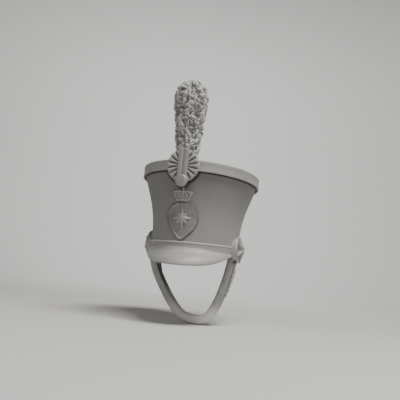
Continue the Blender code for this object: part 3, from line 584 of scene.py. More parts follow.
def soft_copy(name, node, finish, crease, edge):
    """A solid's own form with softened edges, in the solid's place. The crease is in degrees."""
    show(name, copy_of(node), finish, [node], radians(crease), edge)


def between(low, high, share):
    return low + (high - low) * share


def clamp(share):
    return min(max(share, 0.0), 1.0)


def flare(height):
    """How far the crown has widened at a height: not at all, then in a curve, then straight."""
    bend = FLARE_FULL - FLARE_START
    curved = min(max(height - FLARE_START, 0.0), bend)
    straight = max(min(height, BAND_LOWER) - FLARE_FULL, 0.0)
    return FLARE_SLOPE * (curved ** 2 / (2 * bend) + straight)


def tilt(height):
    """How steeply the crown's level at a height slopes from front to back."""
    return TOP_TILT * clamp((height - HEADBAND_HEIGHT) / (BAND_LOWER - HEADBAND_HEIGHT))


def on_crown(turn, height, out, shrink=1.0):
    """A point round the crown. The turn is 0 at the front and grows towards the wearer's left."""
    spread = flare(height)
    x = (RIM_HALF_WIDTH + spread + out) * sin(turn) * shrink
    y = -(RIM_HALF_DEPTH + DEPTH_SHARE * spread + out) * cos(turn) * shrink
    return Vector((x, y, height - tilt(height) * y))


def spun(points, axis, steps, closed=False):
    """A line of points spun in a full turn about an axis through the origin."""
    bm = bmesh.new()
    line = [bm.verts.new(point) for point in points]
    for start, end in zip(line, line[1:] + line[:1] if closed else line[1:]):
        bm.edges.new((start, end))
    bmesh.ops.spin(bm, geom=bm.verts[:] + bm.edges[:], axis=axis, cent=(0, 0, 0),
                   angle=2 * pi, steps=steps, use_merge=True)
    bmesh.ops.remove_doubles(bm, verts=bm.verts, dist=1e-6)
    return bm


def spun_round_crown(profile):
    """A closed profile of (out, height) spun round the hat and fitted to the crown's oval."""
    bm = spun([(0.0, -1.0 - out, height) for out, height in profile], (0, 0, 1), ROUND_STEPS,
              closed=True)
    for vert in bm.verts:
        turn = atan2(vert.co.x, -vert.co.y)
        vert.co = on_crown(turn, vert.co.z, hypot(vert.co.x, vert.co.y) - 1.0)
    bmesh.ops.recalc_face_normals(bm, faces=bm.faces)
    return bm


def curved_sheet(across, along, place, closed=True, kept=None):
    """A grid laid out by place(u, v), each from 0 to 1.

    Closed, it wraps round in u and is filled at both ends of v. With a name in kept, place
    also gives a number that each point keeps for its colour.
    """
    bm = bmesh.new()
    bmesh.ops.create_grid(bm, x_segments=across, y_segments=along, size=0.5, calc_uvs=False)
    uv = bm.loops.layers.uv.new("UVMap")
    for face in bm.faces:
        for loop in face.loops:
            loop[uv].uv = (loop.vert.co.x + 0.5, loop.vert.co.y + 0.5)
    layer = bm.verts.layers.float.new(kept) if kept else None
    for vert in bm.verts:
        if kept:
            vert.co, vert[layer] = place(vert.co.x + 0.5, vert.co.y + 0.5)
        else:
            vert.co = place(vert.co.x + 0.5, vert.co.y + 0.5)
    if closed:
        bmesh.ops.remove_doubles(bm, verts=bm.verts, dist=1e-6)
        rims = [edge for edge in bm.edges if edge.is_boundary]
        bmesh.ops.holes_fill(bm, edges=rims, sides=0)
    bmesh.ops.recalc_face_normals(bm, faces=bm.faces)
    return bm


def lookup(table, column, value, place):
    """A column's value where the place column has a value, in straight lines between rows."""
    for before, after in zip(table, table[1:]):
        if value <= after[place]:
            share = (value - before[place]) / (after[place] - before[place])
            return between(before[column], after[column], share)
    return table[-1][column]


def along_line(points, share):
    """A point at a share of the way along a list of points."""
    at = clamp(share) * (len(points) - 1)
    i = min(int(at), len(points) - 2)
    return between(points[i], points[i + 1], at - i)


def curve_through(points, steps):
    """A smooth curve through a list of points, with this many steps from each to the next."""
    ends = [points[0] * 2 - points[1], *points, points[-1] * 2 - points[-2]]
    out = []
    for before, start, end, after in zip(ends, ends[1:], ends[2:], ends[3:]):
        for i in range(steps):
            t = i / steps
            out.append((start * 2 + (end - before) * t
                        + (before * 2 - start * 5 + end * 4 - after) * t ** 2
                        + (start * 3 - before - end * 3 + after) * t ** 3) / 2)
    return out + [points[-1]]


def rounded_profile(corners, radius, steps=4):
    """Points round a closed profile, with each of its corners rounded off."""
    points = [Vector(corner) for corner in corners]
    out = []
    for i, corner in enumerate(points):
        before, after = points[i - 1], points[(i + 1) % len(points)]
        reach = min(radius, (before - corner).length / 2.1, (after - corner).length / 2.1)
        start = corner + (before - corner).normalized() * reach
        end = corner + (after - corner).normalized() * reach
        for step in range(steps + 1):
            t = step / steps
            out.append(tuple(start.lerp(corner, t).lerp(corner.lerp(end, t), t)))
    return out


def subdivided(profile, longest):
    """The closed profile with its long sides cut into shorter ones."""
    out = []
    for i, point in enumerate(profile):
        start, end = Vector(point), Vector(profile[(i + 1) % len(profile)])
        count = max(1, int((end - start).length / longest))
        out += [tuple(start.lerp(end, step / count)) for step in range(count)]
    return out


def sew(name, places, length, radius):
    """Short raised stitches: each place is a centre, the way along and the way out."""
    bm = bmesh.new()
    for centre, along, out in places:
        side = along.cross(out).normalized()
        turn = Matrix((side, along.normalized(), out.normalized())).transposed().to_4x4()
        shape = Matrix.Diagonal((radius, length / 2, radius * 0.8, 1.0))
        bmesh.ops.create_uvsphere(bm, u_segments=6, v_segments=5, radius=1.0,
                                  matrix=Matrix.Translation(centre) @ turn @ shape)
    show(name, bm, THREAD)


def make_uneven(bm, scale, depth):
    """Move the faces of a wall in and out a little."""
    for vert in bm.verts:
        swell = noise.noise(vert.co * scale) * depth
        vert.co += Vector((vert.co.x, vert.co.y, 0)).normalized() * swell


# ---------------- crown and its leather

def make_crown_felt():
    """The felt wall, open below, with rounded edges and a slightly uneven face."""
    top = TOP_HEIGHT - TOP_SINK - TOP_LEATHER - GAP
    corners = [(0.0, 0.0), (0.0, top), (-FELT_WALL, top), (-FELT_WALL, 0.0)]
    profile = subdivided(rounded_profile(corners, 0.0012), 0.006)
    bm = spun_round_crown(profile)
    make_uneven(bm, *FELT_UNEVEN)
    show("felt_crown", bm, FELT, ["crown_body"])


def make_headband():
    """A band round the rim whose upper edge is rolled into a bead."""
    low, high = GAP, GAP + HEADBAND_WALL
    bead = HEADBAND_HEIGHT + BEAD_RADIUS / 2
    roll = [(high + BEAD_RADIUS * (0.05 + 0.95 * sin(turn)), bead - BEAD_RADIUS * cos(turn))
            for turn in [pi * step / 10 for step in range(1, 10)]]
    profile = [(low, 0.0), (high - 0.0004, 0.0), (high, 0.0004), (high, 0.007), (high, 0.0125),
               (high, bead - 1.5 * BEAD_RADIUS), (high + 0.00012, bead - 1.15 * BEAD_RADIUS)]
    profile += roll + [(low + 0.0004, bead + BEAD_RADIUS), (low, bead + 0.8 * BEAD_RADIUS)]
    show("bead_edged_headband", spun_round_crown(profile), BAND_LEATHER, ["headband"])


def make_top_band():
    """A strip with a rolled welt along both edges and a slightly hollow face between them."""
    inner = 2 * GAP + TOP_LEATHER
    welt, hollow = 0.0013, 0.00075
    face = TOP_BAND_OUT
    low, high = BAND_LOWER, TOP_HEIGHT

    def roll(centre_out, centre_height, start, end, steps=7):
        turns = [radians(between(start, end, step / steps)) for step in range(steps + 1)]
        return [(centre_out + welt * cos(turn), centre_height + welt * sin(turn))
                for turn in turns]

    inside = [(inner, high - 0.0006), (inner, low + 0.0012), (inner + 0.0008, low + 0.0003)]
    lower = roll(face - welt, low + welt, -90, 40)
    middle = [(face - hollow * sin(pi * t) ** 0.5, between(low + 2.2 * welt, high - 2.6 * welt, t))
              for t in [step / 8 for step in range(9)]]
    upper = roll(face - 1.15 * welt, high - welt, -35, 100)
    profile = inside + lower + middle + upper + [(inner + 0.0008, high - 0.0001)]
    bm = spun_round_crown(profile)
    make_uneven(bm, *BAND_UNEVEN)
    show("top_edge_band", bm, BAND_LEATHER, ["top_band"])


def make_crown_top():
    """A shallow leather cap, its disc a little sunk and uneven."""
    scale, depth = CAP_UNEVEN
    outer, inner = GAP + TOP_LEATHER, GAP
    face = TOP_HEIGHT - TOP_SINK
    under = face - TOP_LEATHER
    low = BAND_LOWER + SKIRT_SHORT

    below = [(inner, under, share) for share in (0.02, 0.3, 0.6, 0.85, 1.0)]
    skirt = [(inner, low, 1.0), (outer, low, 1.0), (outer, face - 0.0012, 1.0),
             (outer - 0.0004, face - 0.0003, 1.0), (outer - 0.0012, face, 1.0)]
    above = [(inner, face, share) for share in (0.97, 0.94, 0.9, 0.85, 0.78, 0.7, 0.6, 0.5, 0.4,
                                                0.3, 0.2, 0.1, 0.02)]
    rows = named_rows(("out", "height", "shrink"), *below, *skirt, *above)

    def place(u, v):
        row = rows[round(v * (len(rows) - 1))]
        turn = 2 * pi * u
        point = on_crown(turn, row["height"], row["out"], row["shrink"])
        if row["height"] == face and row["shrink"] < 1.0:
            point.z -= CAP_SAG * (1 - row["shrink"]) ** 0.5
            point.z += depth * noise.noise(point * scale)
        return point

    bm = curved_sheet(ROUND_STEPS, len(rows) - 1, place)
    show("leather_crown_top", bm, BAND_LEATHER, ["crown_top"])


def peak_section(turn):
    """Corners of the peak's section at a turn round the front, as (out, height) points."""
    share = cos(turn * (pi / 2) / PEAK_TAPER_SWEEP) ** PEAK_TAPER_POWER
    reach = PEAK_REACH * share
    lip = min(PEAK_LIP, 0.0004 + 0.2 * reach)
    wall = min(PEAK_LEATHER, 1.7 * lip)
    slope = PEAK_SLOPE + PEAK_SIDE_SLOPE * sin(turn) ** 2
    down = Vector((cos(slope), -sin(slope)))
    up = Vector((sin(slope), cos(slope)))
    run = reach / cos(slope) - lip
    root = Vector((0.0, PEAK_ROOT))
    centre = root + down * run - up * lip

    def round_lip(angle):
        return centre + down * lip * sin(angle) + up * lip * cos(angle)

    end = round_lip(PEAK_DROOP)
    knee = end - (down * cos(PEAK_DROOP) - up * sin(PEAK_DROOP)) * PEAK_KNEE * run

    def upper(share):
        return root.lerp(knee, share).lerp(knee.lerp(end, share), share)

    # the leather turns up against the headband in a small hollow curve
    turned_up = min(PEAK_TURNED_UP, PEAK_TURNED_SHARE * reach)
    rise = Vector((0.0, PEAK_ROOT + turned_up))
    foot = upper(0.16)
    bend = Vector((0.0004, PEAK_ROOT + 0.0004))
    points = [rise.lerp(bend, t / 4).lerp(bend.lerp(foot, t / 4), t / 4) for t in range(4)]
    points += [upper(between(0.16, 1.0, t / 10)) for t in range(10)]
    points += [round_lip(between(PEAK_DROOP, pi, t / 12)) for t in range(13)]
    points += [upper(t) - up * wall for t in (0.85, 0.70, 0.55, 0.40, 0.20)]
    return points + [root - Vector((0.0, wall / cos(slope)))]


def on_peak(turn, point):
    """A section's point laid out round the headband."""
    half_width = RIM_HALF_WIDTH + 2 * GAP + HEADBAND_WALL
    half_depth = RIM_HALF_DEPTH + 2 * GAP + HEADBAND_WALL
    out = Vector((sin(turn) / half_width, -cos(turn) / half_depth, 0)).normalized()
    foot = Vector((half_width * sin(turn), -half_depth * cos(turn), 0))
    return foot + out * point.x + Vector((0, 0, point.y))


def make_peak():
    """The peak laid round the headband, with a row of stitches inside its lip."""
    count = len(peak_section(0.0))

    def place(u, v):
        turn = between(-PEAK_SWEEP, PEAK_SWEEP, v)
        section = peak_section(turn)
        return on_peak(turn, section[round(u * count) % count])

    bm = curved_sheet(count, 150, place)
    show("leather_peak", bm, PEAK_LEATHER_FINISH, ["peak"])
    places = []
    seam, further_in = 12, 10        # corners of the section, counted from the root
    for i in range(PEAK_STITCHES):
        turn = between(-PEAK_SWEEP, PEAK_SWEEP, (i + 0.5) / PEAK_STITCHES) * 0.93
        centre, ahead = [on_peak(at, peak_section(at)[seam]) for at in (turn, turn + 0.01)]
        inward = on_peak(turn, peak_section(turn)[further_in])
        along = ahead - centre
        out = along.cross(inward - centre).normalized()
        if out.z < 0:
            out.negate()
        places.append((centre + out * 0.00005, along, out))
    sew("peak_stitching", places, length=0.0019, radius=0.00036)


def make_band_seams():
    """Each band is one strip, and its ends are sewn together at the back."""
    places = []
    count, half_gap = 6, 0.022       # stitches on each side of the seam, and their turn from it
    for low, high, out in ((0.0035, 0.0165, GAP + HEADBAND_WALL),
                           (BAND_LOWER + 0.003, TOP_HEIGHT - 0.003, TOP_BAND_OUT)):
        for turn in (pi - half_gap, pi + half_gap):
            for i in range(count):
                height = between(low, high, i / (count - 1))
                centre = on_crown(turn, height, out)
                places.append((centre, on_crown(turn, height + 0.002, out) - centre,
                               Vector((0, 1, 0))))
    sew("band_seam_stitching", places, length=0.0019, radius=0.00038)


# ---------------- cockade and plume

def make_rosette():
    """Rounded pleats that widen outwards between narrow grooves, inside a rounded edge."""
    back = COCKADE_FACE - GAP
    front = back - ROSETTE_THICK
    edge = COCKADE_RADIUS - 0.0003
    inside = edge - ROSETTE_BORDER
    # share of the inside radius, and how deep the grooves are there
    rows = [(0.05, 0.3), (0.12, 0.5), (0.20, 0.7), (0.30, 0.9), (0.40, 1.0), (0.50, 1.0),
            (0.58, 1.0), (0.66, 1.0), (0.74, 1.0), (0.82, 0.98), (0.88, 0.95), (0.93, 0.88),
            (0.97, 0.70), (1.0, 0.45)]
    stations = [(inside * size, front, depth) for size, depth in rows]
    stations += [(inside + ROSETTE_BORDER * sin(turn), front + ROSETTE_ROLL * (1 - cos(turn)),
                  0.40 * max(0.0, cos(turn)) ** 2)
                 for turn in [pi / 2 * step / 9 for step in range(1, 10)]]
    stations += [(edge, back - 0.0005, 0.0), (edge - 0.0005, back, 0.0), (0.5 * edge, back, 0.0)]
    last = len(stations) - 1

    def place(u, v):
        radius, y, depth = stations[round(v * last)]
        turn = 2 * pi * u
        pitch = 2 * pi * radius / PLEATS
        from_groove = abs((u * PLEATS) % 1.0 - 0.5) * pitch
        half = min(PLEAT_GROOVE / 2, 0.36 * pitch)
        wall = min(from_groove / half, 1.0)
        ridge = sin(wall * pi / 2) ** 1.5
        middle = cos(pi * ((u * PLEATS + 0.5) % 1.0 - 0.5))
        crest = PLEAT_CREST * middle * depth * min(1.0, pitch / 0.008)
        groove = PLEAT_DEPTH * depth * (1 - ridge)
        point = Vector((radius * sin(turn), y + groove - crest, COCKADE_HEIGHT + radius * cos(turn)))
        # the kept number gives the ribbon its painted shade in the grooves
        return point, 1 - (1 - ridge) * depth

    bm = curved_sheet(PLEATS * 28, last, place, kept="lift")
    show("pleated_rosette", bm, RIBBON, ["cockade"], radians(60))


def round_fall(x):
    """How far the cockade's round top has fallen at a distance from its middle."""
    radius = COCKADE_RADIUS + 2 * GAP
    return radius - sqrt(radius ** 2 - x ** 2)


def make_loop():
    """Two broad cords side by side, over the cockade's top and down to the button."""
    half = LOOP_WIDTH / 2
    base = COCKADE_FACE - ROSETTE_THICK - 3 * GAP - 0.0002
    crest = COCKADE_HEIGHT + COCKADE_RADIUS + 2 * GAP
    turn_start = 12.0
    bends = [(base, between(LOOP_FOOT, crest - 0.0080, t / 3), 0.0) for t in range(4)]
    bends += [(base, crest - 0.0020, turn_start), (base + 0.0006, crest - 0.0006, 40.0),
              (base + 0.0020, crest, 75.0), (base + 0.0060, crest, 90.0),
              (COCKADE_FACE + LOOP_REACH, crest, 90.0)]
    route = curve_through([Vector(bend) for bend in bends], 8)
    sides = 48

    def outline(share):
        """Across the loop's raised face and back along its flat one."""
        if share < 0.75:
            x = between(-1.0, 1.0, share / 0.75)
            cord = abs(abs(x) - CORD_MIDDLE) / CORD_HALF
            rise = max(1 - cord ** 2.2, 0.0) ** 0.5 if cord < 1 else 0.0
            fill = CORD_VALLEY * exp(-(x / 0.22) ** 2)
            return x, max(rise, fill) * 0.90 + 0.10
        return between(1.0, -1.0, (share - 0.75) / 0.25), 0.0

    def place(u, v):
        y, z, turn = along_line(route, v)
        x, rise = outline(u % 1.0)
        thick = between(LOOP_THICK, LOOP_CREST_THICK, turn / 90.0)
        out = Vector((0, -cos(radians(turn)), sin(radians(turn)))) * thick
        side = x * half * (1 - 0.08 * turn / 90.0)
        fall = round_fall(side) * min(turn / turn_start, 1.0)
        return Vector((side, y, z - fall)) + out * rise

    bm = curved_sheet(sides, 90, place)
    uv = bm.loops.layers.uv.active
    for face in bm.faces:
        for loop in face.loops:
            co = loop.vert.co
            cord = (co.x / half) % 1.0
            loop[uv].uv = (cord, co.z if co.y < base + 0.003 else crest + co.y - base)
    show("corded_loop", bm, BRAID, ["cockade_loop"], radians(50))


def make_button():
    """A flat-faced button with a rounded edge, spun about its own axis."""
    back = COCKADE_FACE - ROSETTE_THICK - LOOP_THICK - 4 * GAP - 0.0003
    # share of the radius, and share of the thickness
    outline = [(0.0, 0.0), (0.60, 0.0), (0.94, 0.0), (0.985, 0.04), (1.0, 0.12), (1.0, 0.36),
               (1.0, 0.60), (0.985, 0.71), (0.95, 0.80), (0.89, 0.875), (0.81, 0.93),
               (0.70, 0.965), (0.45, 0.988), (0.20, 0.998), (0.0, 1.0)]
    bm = spun([(size * BUTTON_RADIUS, -BUTTON_THICK * rise, 0) for size, rise in outline],
              (0, 1, 0), 64)
    bmesh.ops.translate(bm, vec=(BUTTON_SIDE, back, BUTTON_HEIGHT), verts=bm.verts)
    bmesh.ops.recalc_face_normals(bm, faces=bm.faces)
    show("flat_button", bm, BUTTON_METAL, ["cockade_button"])


def lump(point, share):
    """How far the wool stands out at a point: rounded curls with pits between them, which the wool's
    colour darkens as painted shade.
    """
    swirl = noise.noise_vector(point * CURL_SWIRL)
    coarse = noise.noise(point * between(*COARSE_CURLS, share) + swirl * 0.9)
    middle = noise.noise(point * MIDDLE_CURLS + swirl * 1.6 + Vector((5.1, 2.3, 7.7)))
    fine = noise.noise(point * FINE_CURLS + swirl * 2.0 + Vector((1.7, 9.2, 3.3)))
    pits = abs(noise.noise(point * CURL_PITS + swirl * 1.8 + Vector((8.4, 3.1, 0.6))))
    return tanh(2.0 * coarse + 1.6 * middle + 0.45 * fine + 1.2 * (0.30 - pits))


def make_plume():
    """Curled wool all over a club-shaped core, parted where the cockade and loop hold it."""
    clear = GAP + 0.0002
    height = PLUME_PROFILE[-1]["up"]
    drum = COCKADE_RADIUS + clear
    loop_top = COCKADE_HEIGHT + COCKADE_RADIUS + 2 * GAP + LOOP_CREST_THICK + clear

    def place(u, v):
        share = sin(v * pi / 2) ** 1.12
        turn = 2 * pi * (u % 1.0)
        radius = lookup(PLUME_PROFILE, "radius", share * height, "up")
        if v > 0.985:
            radius *= max(1 - (v - 0.985) / 0.015, 0.0) ** 0.5
        centre = PLUME_BASE.lerp(PLUME_TOP, share)
        out = Vector((sin(turn), -cos(turn), 0))
        crown = clamp((share - PLUME_CROWN) / (1 - PLUME_CROWN))
        way = (out * (1 - 0.85 * crown) + Vector((0, 0, 1)) * crown).normalized()
        uneven = PLUME_UNEVEN * noise.noise(centre * 80.0 + out * 2.4)
        start = centre + out * (radius + uneven) - Vector((0, 0, PLUME_CROWN_SUNK * crown))
        lift = lump(start, share)
        depth = CURL_DEPTH * min(1.0, 0.45 + share * 1.1) * (1 - 0.42 * crown)
        point = start + way * depth * lift
        floor = TOP_HEIGHT + clear - TOP_TILT * point.y
        point.z = max(point.z, floor)
        from_middle = hypot(point.x, point.z - COCKADE_HEIGHT)
        if from_middle < drum:
            point.y = max(point.y, COCKADE_BACK + clear)
        if abs(point.x) < LOOP_WIDTH / 2 + clear and point.z < loop_top:
            point.y = max(point.y, COCKADE_FACE + LOOP_REACH + clear)
        # the kept number gives the wool its painted shade in the pits
        return point, 0.5 + 0.5 * lift

    bm = curved_sheet(330, 250, place, kept="lift")
    show("wool_plume", bm, WOOL, ["plume"], pi)


def finish_stem():
    """The hidden stem keeps its own solid and gets the plates' metal."""
    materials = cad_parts["plume_stem"].data.materials
    materials.clear()
    materials.append(PLATE_METAL.material)


# ---------------- plates

def on_front(x, z, out):
    """A point on the crown's front, this far out from the felt."""
    height, y = z, 0.0
    for _ in range(8):
        spread = flare(height)
        half_width = RIM_HALF_WIDTH + spread + out
        y = -(RIM_HALF_DEPTH + DEPTH_SHARE * spread + out) * sqrt(1 - (x / half_width) ** 2)
        height = z + tilt(height) * y
    return Vector((x, y, z))


def make_shield():
    """A thin plate with a rounded border and two drops, laid on the crown's front."""
    right = [(row["right"], row["z"]) for row in SHIELD_OUTLINE]
    left = [(row["left"], row["z"]) for row in reversed(SHIELD_OUTLINE)]
    outline = [*right, SHIELD_TIP, *left]
    bm = bmesh.new()
    face = bm.faces.new([bm.verts.new((x, PLATE_OUT, z)) for x, z in outline])
    made = bmesh.ops.extrude_face_region(bm, geom=[face])["geom"]
    top = [item for item in made if isinstance(item, bmesh.types.BMFace)]
    bmesh.ops.translate(bm, vec=(0, SHIELD_BASE, 0), verts=top[0].verts)
    steps = 7
    for step in range(steps):
        turn, ahead = pi * step / steps, pi * (step + 1) / steps
        inward = SHIELD_BEAD / 2 * (cos(turn) - cos(ahead))
        rise = SHIELD_RIM * (sin(ahead) - sin(turn))
        bmesh.ops.inset_region(bm, faces=top, thickness=inward, use_even_offset=True)
        bmesh.ops.translate(bm, vec=(0, rise, 0), verts=top[0].verts)
    # cut finely enough to bend round the crown
    for axis, count, normal in ((0, 30, (1, 0, 0)), (2, 34, (0, 0, 1))):
        low = min(vert.co[axis] for vert in bm.verts)
        high = max(vert.co[axis] for vert in bm.verts)
        for i in range(1, count):
            bmesh.ops.bisect_plane(bm, geom=bm.verts[:] + bm.edges[:] + bm.faces[:], dist=1e-6,
                                   plane_co=Vector(normal) * between(low, high, i / count),
                                   plane_no=normal)
    for x in DROP_PLACES:
        place = Matrix.Translation((x, PLATE_OUT + SHIELD_BASE + SHIELD_RIM - 0.0004, DROP_HEIGHT))
        bmesh.ops.create_uvsphere(bm, u_segments=20, v_segments=12, radius=DROP_RADIUS,
                                  matrix=place)
    for vert in bm.verts:
        vert.co = on_front(vert.co.x, vert.co.z, vert.co.y)
    bmesh.ops.recalc_face_normals(bm, faces=bm.faces)
    show("shield_badge", bm, PLATE_METAL, ["shield_plate"], radians(35))


def make_ornament():
    """The cast ornament, remeshed so that its relief is soft."""
    ornament = show("crown_ornament", copy_of("plate_crown"), ORNAMENT_METAL, ["plate_crown"], pi)
    step = ornament.modifiers.new("cast", "REMESH")
    step.mode, step.voxel_size, step.use_smooth_shade = "VOXEL", 0.00030, True
    step = ornament.modifiers.new("worn_and_highlit", "SMOOTH")
    step.factor, step.iterations = 0.5, 1


# ---------------- chin strap

def strap_curve():
    """The padded roll's middle line, from the -X leg's top to the +X leg's top."""
    route = [Vector((row["x"], BOSS_FORWARD, row["z"])) for row in STRAP_ROUTE]
    return curve_through(route, 14)


def down_share(z, start, length):
    """0 above a depth below the rim, then up to 1 over this length."""
    return clamp((-z - start) / length)


def strap_thickness(z):
    return between(STRAP_THICK, STRAP_THICK_LOW, down_share(z, *STRAP_THICKENS))


def strap_depth(z):
    return between(STRAP_DEPTH_TOP, STRAP_DEPTH, down_share(z, *STRAP_TAPER))


def strap_flap(centre):
    """Extra depth towards the back: full at the -X leg's top, and none lower down."""
    return STRAP_FLAP * (1 - down_share(centre.z, *STRAP_TAPER)) if centre.x < 0 else 0.0


def strap_stations():
    """Centre, way out, thickness, depth and fullness from the -X tongue to the +X tongue."""
    middle = (TONGUE_INNER + TONGUE_OUTER) / 2
    tongue = TONGUE_OUTER - TONGUE_INNER
    roll = (ROLL_INNER + TONGUE_OUTER) / 2

    def end(side):
        rows = [(TONGUE_HEIGHT, middle, tongue, TONGUE_DEPTH * 0.8, 0.0),
                (TONGUE_HEIGHT - 0.004, middle, tongue, TONGUE_DEPTH, 0.0),
                (0.016, middle, tongue, TONGUE_DEPTH, 0.0),
                (STRAP_TOP + GAP, middle, tongue, TONGUE_DEPTH, 0.0),
                (STRAP_TOP, roll, TONGUE_OUTER - ROLL_INNER - 0.001, STRAP_DEPTH_TOP * 0.96, 0.0),
                (STRAP_TOP - 0.002, roll, TONGUE_OUTER - ROLL_INNER, STRAP_DEPTH_TOP, 0.0)]
        return [(Vector((side * x, BOSS_FORWARD, z)), Vector((side, 0, 0)), thick, depth, full)
                for z, x, thick, depth, full in rows]

    curve = strap_curve()
    rows = end(-1)
    for i, centre in enumerate(curve):
        along = (curve[min(i + 1, len(curve) - 1)] - curve[max(i - 1, 0)]).normalized()
        full = min(1.0, i / 10, (len(curve) - 1 - i) / 10)
        rows.append((centre, Vector((along.z, 0, -along.x)), strap_thickness(centre.z),
                     strap_depth(centre.z), full))
    return rows + end(1)[::-1]


def make_chin_strap():
    """A padded leather roll, sewn along the middle of its inner face.

    The legs' inner faces get dark painted shade, and so does a notch outside the +X leg's top.
    """
    rows = strap_stations()
    last = len(rows) - 1
    sides = 64
    notch = STRAP_TOP - NOTCH_DEPTH
    shade_foot, shade_length = INNER_SHADE

    def place(u, v):
        centre, out, thick, depth, full = rows[round(v * last)]
        flap = strap_flap(centre) if centre.z < STRAP_TOP + GAP / 2 else 0.0
        turn = 2 * pi * u
        across, back = [abs(way) ** STRAP_SQUARE * (1 if way > 0 else -1)
                        for way in (cos(turn), sin(turn))]
        point = centre + out * across * thick / 2
        point.y += back * depth / 2 + (back + 1) * flap / 2
        seam = exp(-((turn - pi) / SEAM_WIDTH) ** 2) * full
        facing_in = clamp((-across - 0.66) / 0.18)
        facing_out = clamp((across - 0.45) / 0.25)
        # painted shade on the legs' inner faces, and on a notch outside the +X leg's top
        stained = facing_in * clamp((centre.z - shade_foot) / shade_length)
        if centre.x > 0 and notch < centre.z < STRAP_TOP:
            stained = facing_out * min((centre.z - notch) / NOTCH_FADE, 1.0)
        wrinkle = noise.noise(Vector((v * 95.0, sin(turn) * 1.3, cos(turn) * 1.3)))
        pull = 0.5 + 0.5 * cos(2 * pi * v * last / 5.0)
        sunk = seam * (SEAM_DEPTH + SEAM_PULL * pull) + WRINKLE_DEPTH * wrinkle * full
        return point + (centre - point).normalized() * sunk, stained

    bm = curved_sheet(sides, last, place, kept="stained")
    piece = show("rolled_chin_strap", bm, STRAP_LEATHER, ["chin_strap"], radians(60))
    places = []
    for i in range(14, last - 13, 3):        # along the roll, clear of both tongues
        centre, out, thick = rows[i][:3]
        along = rows[i + 1][0] - rows[i - 1][0]
        places.append((centre - out * (thick / 2 - 0.0012), along, -out))
    sew("strap_stitching", places, length=0.0026, radius=0.00042)


def make_chin_scales():
    """Overlapping domed scales down the +X leg, each with a rounded free end."""
    curve = strap_curve()[::-1]
    lengths = [0.0]
    for before, after in zip(curve, curve[1:]):
        lengths.append(lengths[-1] + (after - before).length)
    start = -curve[0].z

    def on_face(distance):
        distance = max(distance - start, 0.0)
        i = max(j for j, length in enumerate(lengths[:-1]) if length <= distance)
        along = (curve[i + 1] - curve[i]).normalized()
        centre = curve[i] + along * (distance - lengths[i])
        out = Vector((-along.z, 0, along.x))
        return centre + out * (strap_thickness(centre.z) / 2 + 2 * GAP), out

    whole = bmesh.new()
    for scale in range(SCALES):
        top = SCALE_FIRST + SCALE_PITCH * scale

        def place(u, v):
            width = between(SCALE_WIDTH_HIGH, SCALE_WIDTH_LOW, (scale + v) / SCALES)
            across = (u - 0.5) * (1 - 0.10 * v * v)
            point, out = on_face(top + SCALE_PITCH * v * 0.985 + SCALE_LAP * (1 - 4 * across ** 2)
                                 * (0.25 + 0.75 * v))
            rise = (SCALE_SHEET + SCALE_LIFT * v ** 1.5 * (1 - 1.2 * across ** 2)
                    - SCALE_FALL * (2 * across) ** 4)
            return point + out * rise + Vector((0, across * width, 0))

        sheet = curved_sheet(16, 12, place, closed=False)
        bmesh.ops.solidify(sheet, geom=sheet.faces[:], thickness=SCALE_SHEET)
        bmesh.ops.recalc_face_normals(sheet, faces=sheet.faces)
        part = mesh_of("scale", sheet)
        whole.from_mesh(part)
        bpy.data.meshes.remove(part)
    show("chin_scale_row", whole, SCALE_METAL, ["chin_scales"], radians(50))


# ---------------- stage, light and camera

def make_stage():
    """A pale round floor that sweeps up into its own backdrop on every side."""
    flat, bend, wall = 1.5, 1.2, 1.2
    outline = [(0.0, 0.0), (0.5, 0.0), (1.0, 0.0)]
    outline += [(flat + bend * sin(turn), bend * (1 - cos(turn)))
                for turn in [pi / 2 * step / 12 for step in range(13)]]
    outline.append((flat + bend, bend + wall))
    bm = spun([(reach, 0, FLOOR + rise) for reach, rise in outline], (0, 0, 1), 96)
    bmesh.ops.recalc_face_normals(bm, faces=bm.faces)
    bmesh.ops.reverse_faces(bm, faces=bm.faces)
    mesh = mesh_of("floor", bm)
    mesh.shade_smooth()
    paper = bpy.data.materials.new("pale_paper")
    paper.use_nodes = True
    shader = paper.node_tree.nodes["Principled BSDF"]
    shader.inputs["Base Color"].default_value = (0.58, 0.576, 0.57, 1.0)
    shader.inputs["Roughness"].default_value = 0.9
    mesh.materials.append(paper)
    new_object("floor", mesh)


def soft_light(name, place, size, power, aim=Vector((0, 0, 0.10)), tint=(1.0, 1.0, 1.0)):
    lamp = bpy.data.lights.new(name, "AREA")
    lamp.shape, lamp.size, lamp.energy, lamp.color = "DISK", size, power, tint
    stand = new_object(name, lamp)
    stand.location = place
    stand.rotation_euler = (aim - Vector(place)).to_track_quat("-Z", "Y").to_euler()


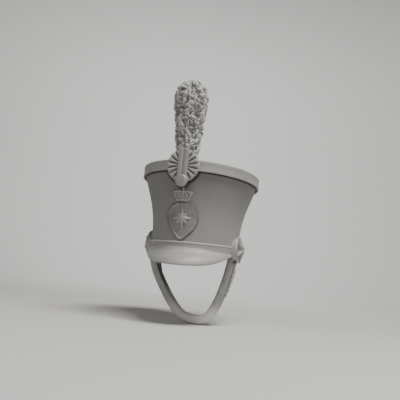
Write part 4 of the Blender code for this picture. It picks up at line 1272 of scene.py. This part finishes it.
def make_lights():
    warm, cool = (1.0, 0.985, 0.96), (0.96, 0.98, 1.0)
    soft_light("high_right", (0.967, -0.525, 2.005), size=0.70, power=43.0, tint=warm)
    soft_light("high_front", (0.575, -0.938, 2.005), size=0.70, power=29.0, tint=warm)
    soft_light("low_front", (0.78, -1.56, 0.60), size=0.70, power=2.3, tint=cool)
    soft_light("on_backdrop", (-0.45, 0.95, 1.30), size=0.60, power=24.0,
               aim=Vector((-0.65, 2.6, 0.45)))
    world = bpy.data.worlds.new("room")
    world.use_nodes = True
    background = world.node_tree.nodes["Background"]
    background.inputs["Color"].default_value = (0.93, 0.94, 0.95, 1.0)
    background.inputs["Strength"].default_value = 0.03
    bpy.context.scene.world = world


def make_camera():
    lens = bpy.data.cameras.new("camera")
    lens.lens, lens.sensor_width = CAMERA_LENS, 36.0
    lens.clip_start, lens.clip_end = 0.05, 20.0
    stand = new_object("camera", lens)
    stand.location = (sin(CAMERA_AZIMUTH) * CAMERA_DISTANCE,
                      -cos(CAMERA_AZIMUTH) * CAMERA_DISTANCE, CAMERA_HEIGHT)
    turn = (Matrix.Rotation(CAMERA_YAW, 3, "Z") @ Matrix.Rotation(pi / 2 + CAMERA_PITCH, 3, "X")
            @ Matrix.Rotation(CAMERA_ROLL, 3, "Z"))
    stand.rotation_euler = turn.to_euler()
    bpy.context.scene.camera = stand


make_camera()
make_lights()
make_stage()
make_crown_felt()
make_headband()
make_top_band()
make_crown_top()
make_peak()
make_band_seams()
# the drum's near-black leather is painted shade
soft_copy("cockade_drum", "cockade_base", DRUM_SHADE_LEATHER, crease=30, edge=0.0004)
make_rosette()
make_loop()
make_button()
make_plume()
make_shield()
soft_copy("faceted_star", "shield_star", STAR_METAL, crease=12, edge=0.0002)
make_ornament()
for side in ("left", "right"):
    soft_copy(f"{side}_side_boss", f"boss_{side}", BOSS_METAL, crease=35, edge=0.0006)
    soft_copy(f"{side}_boss_pyramid_star", f"boss_star_{side}", BOSS_METAL, crease=8, edge=0.0003)
make_chin_strap()
make_chin_scales()
finish_stem()
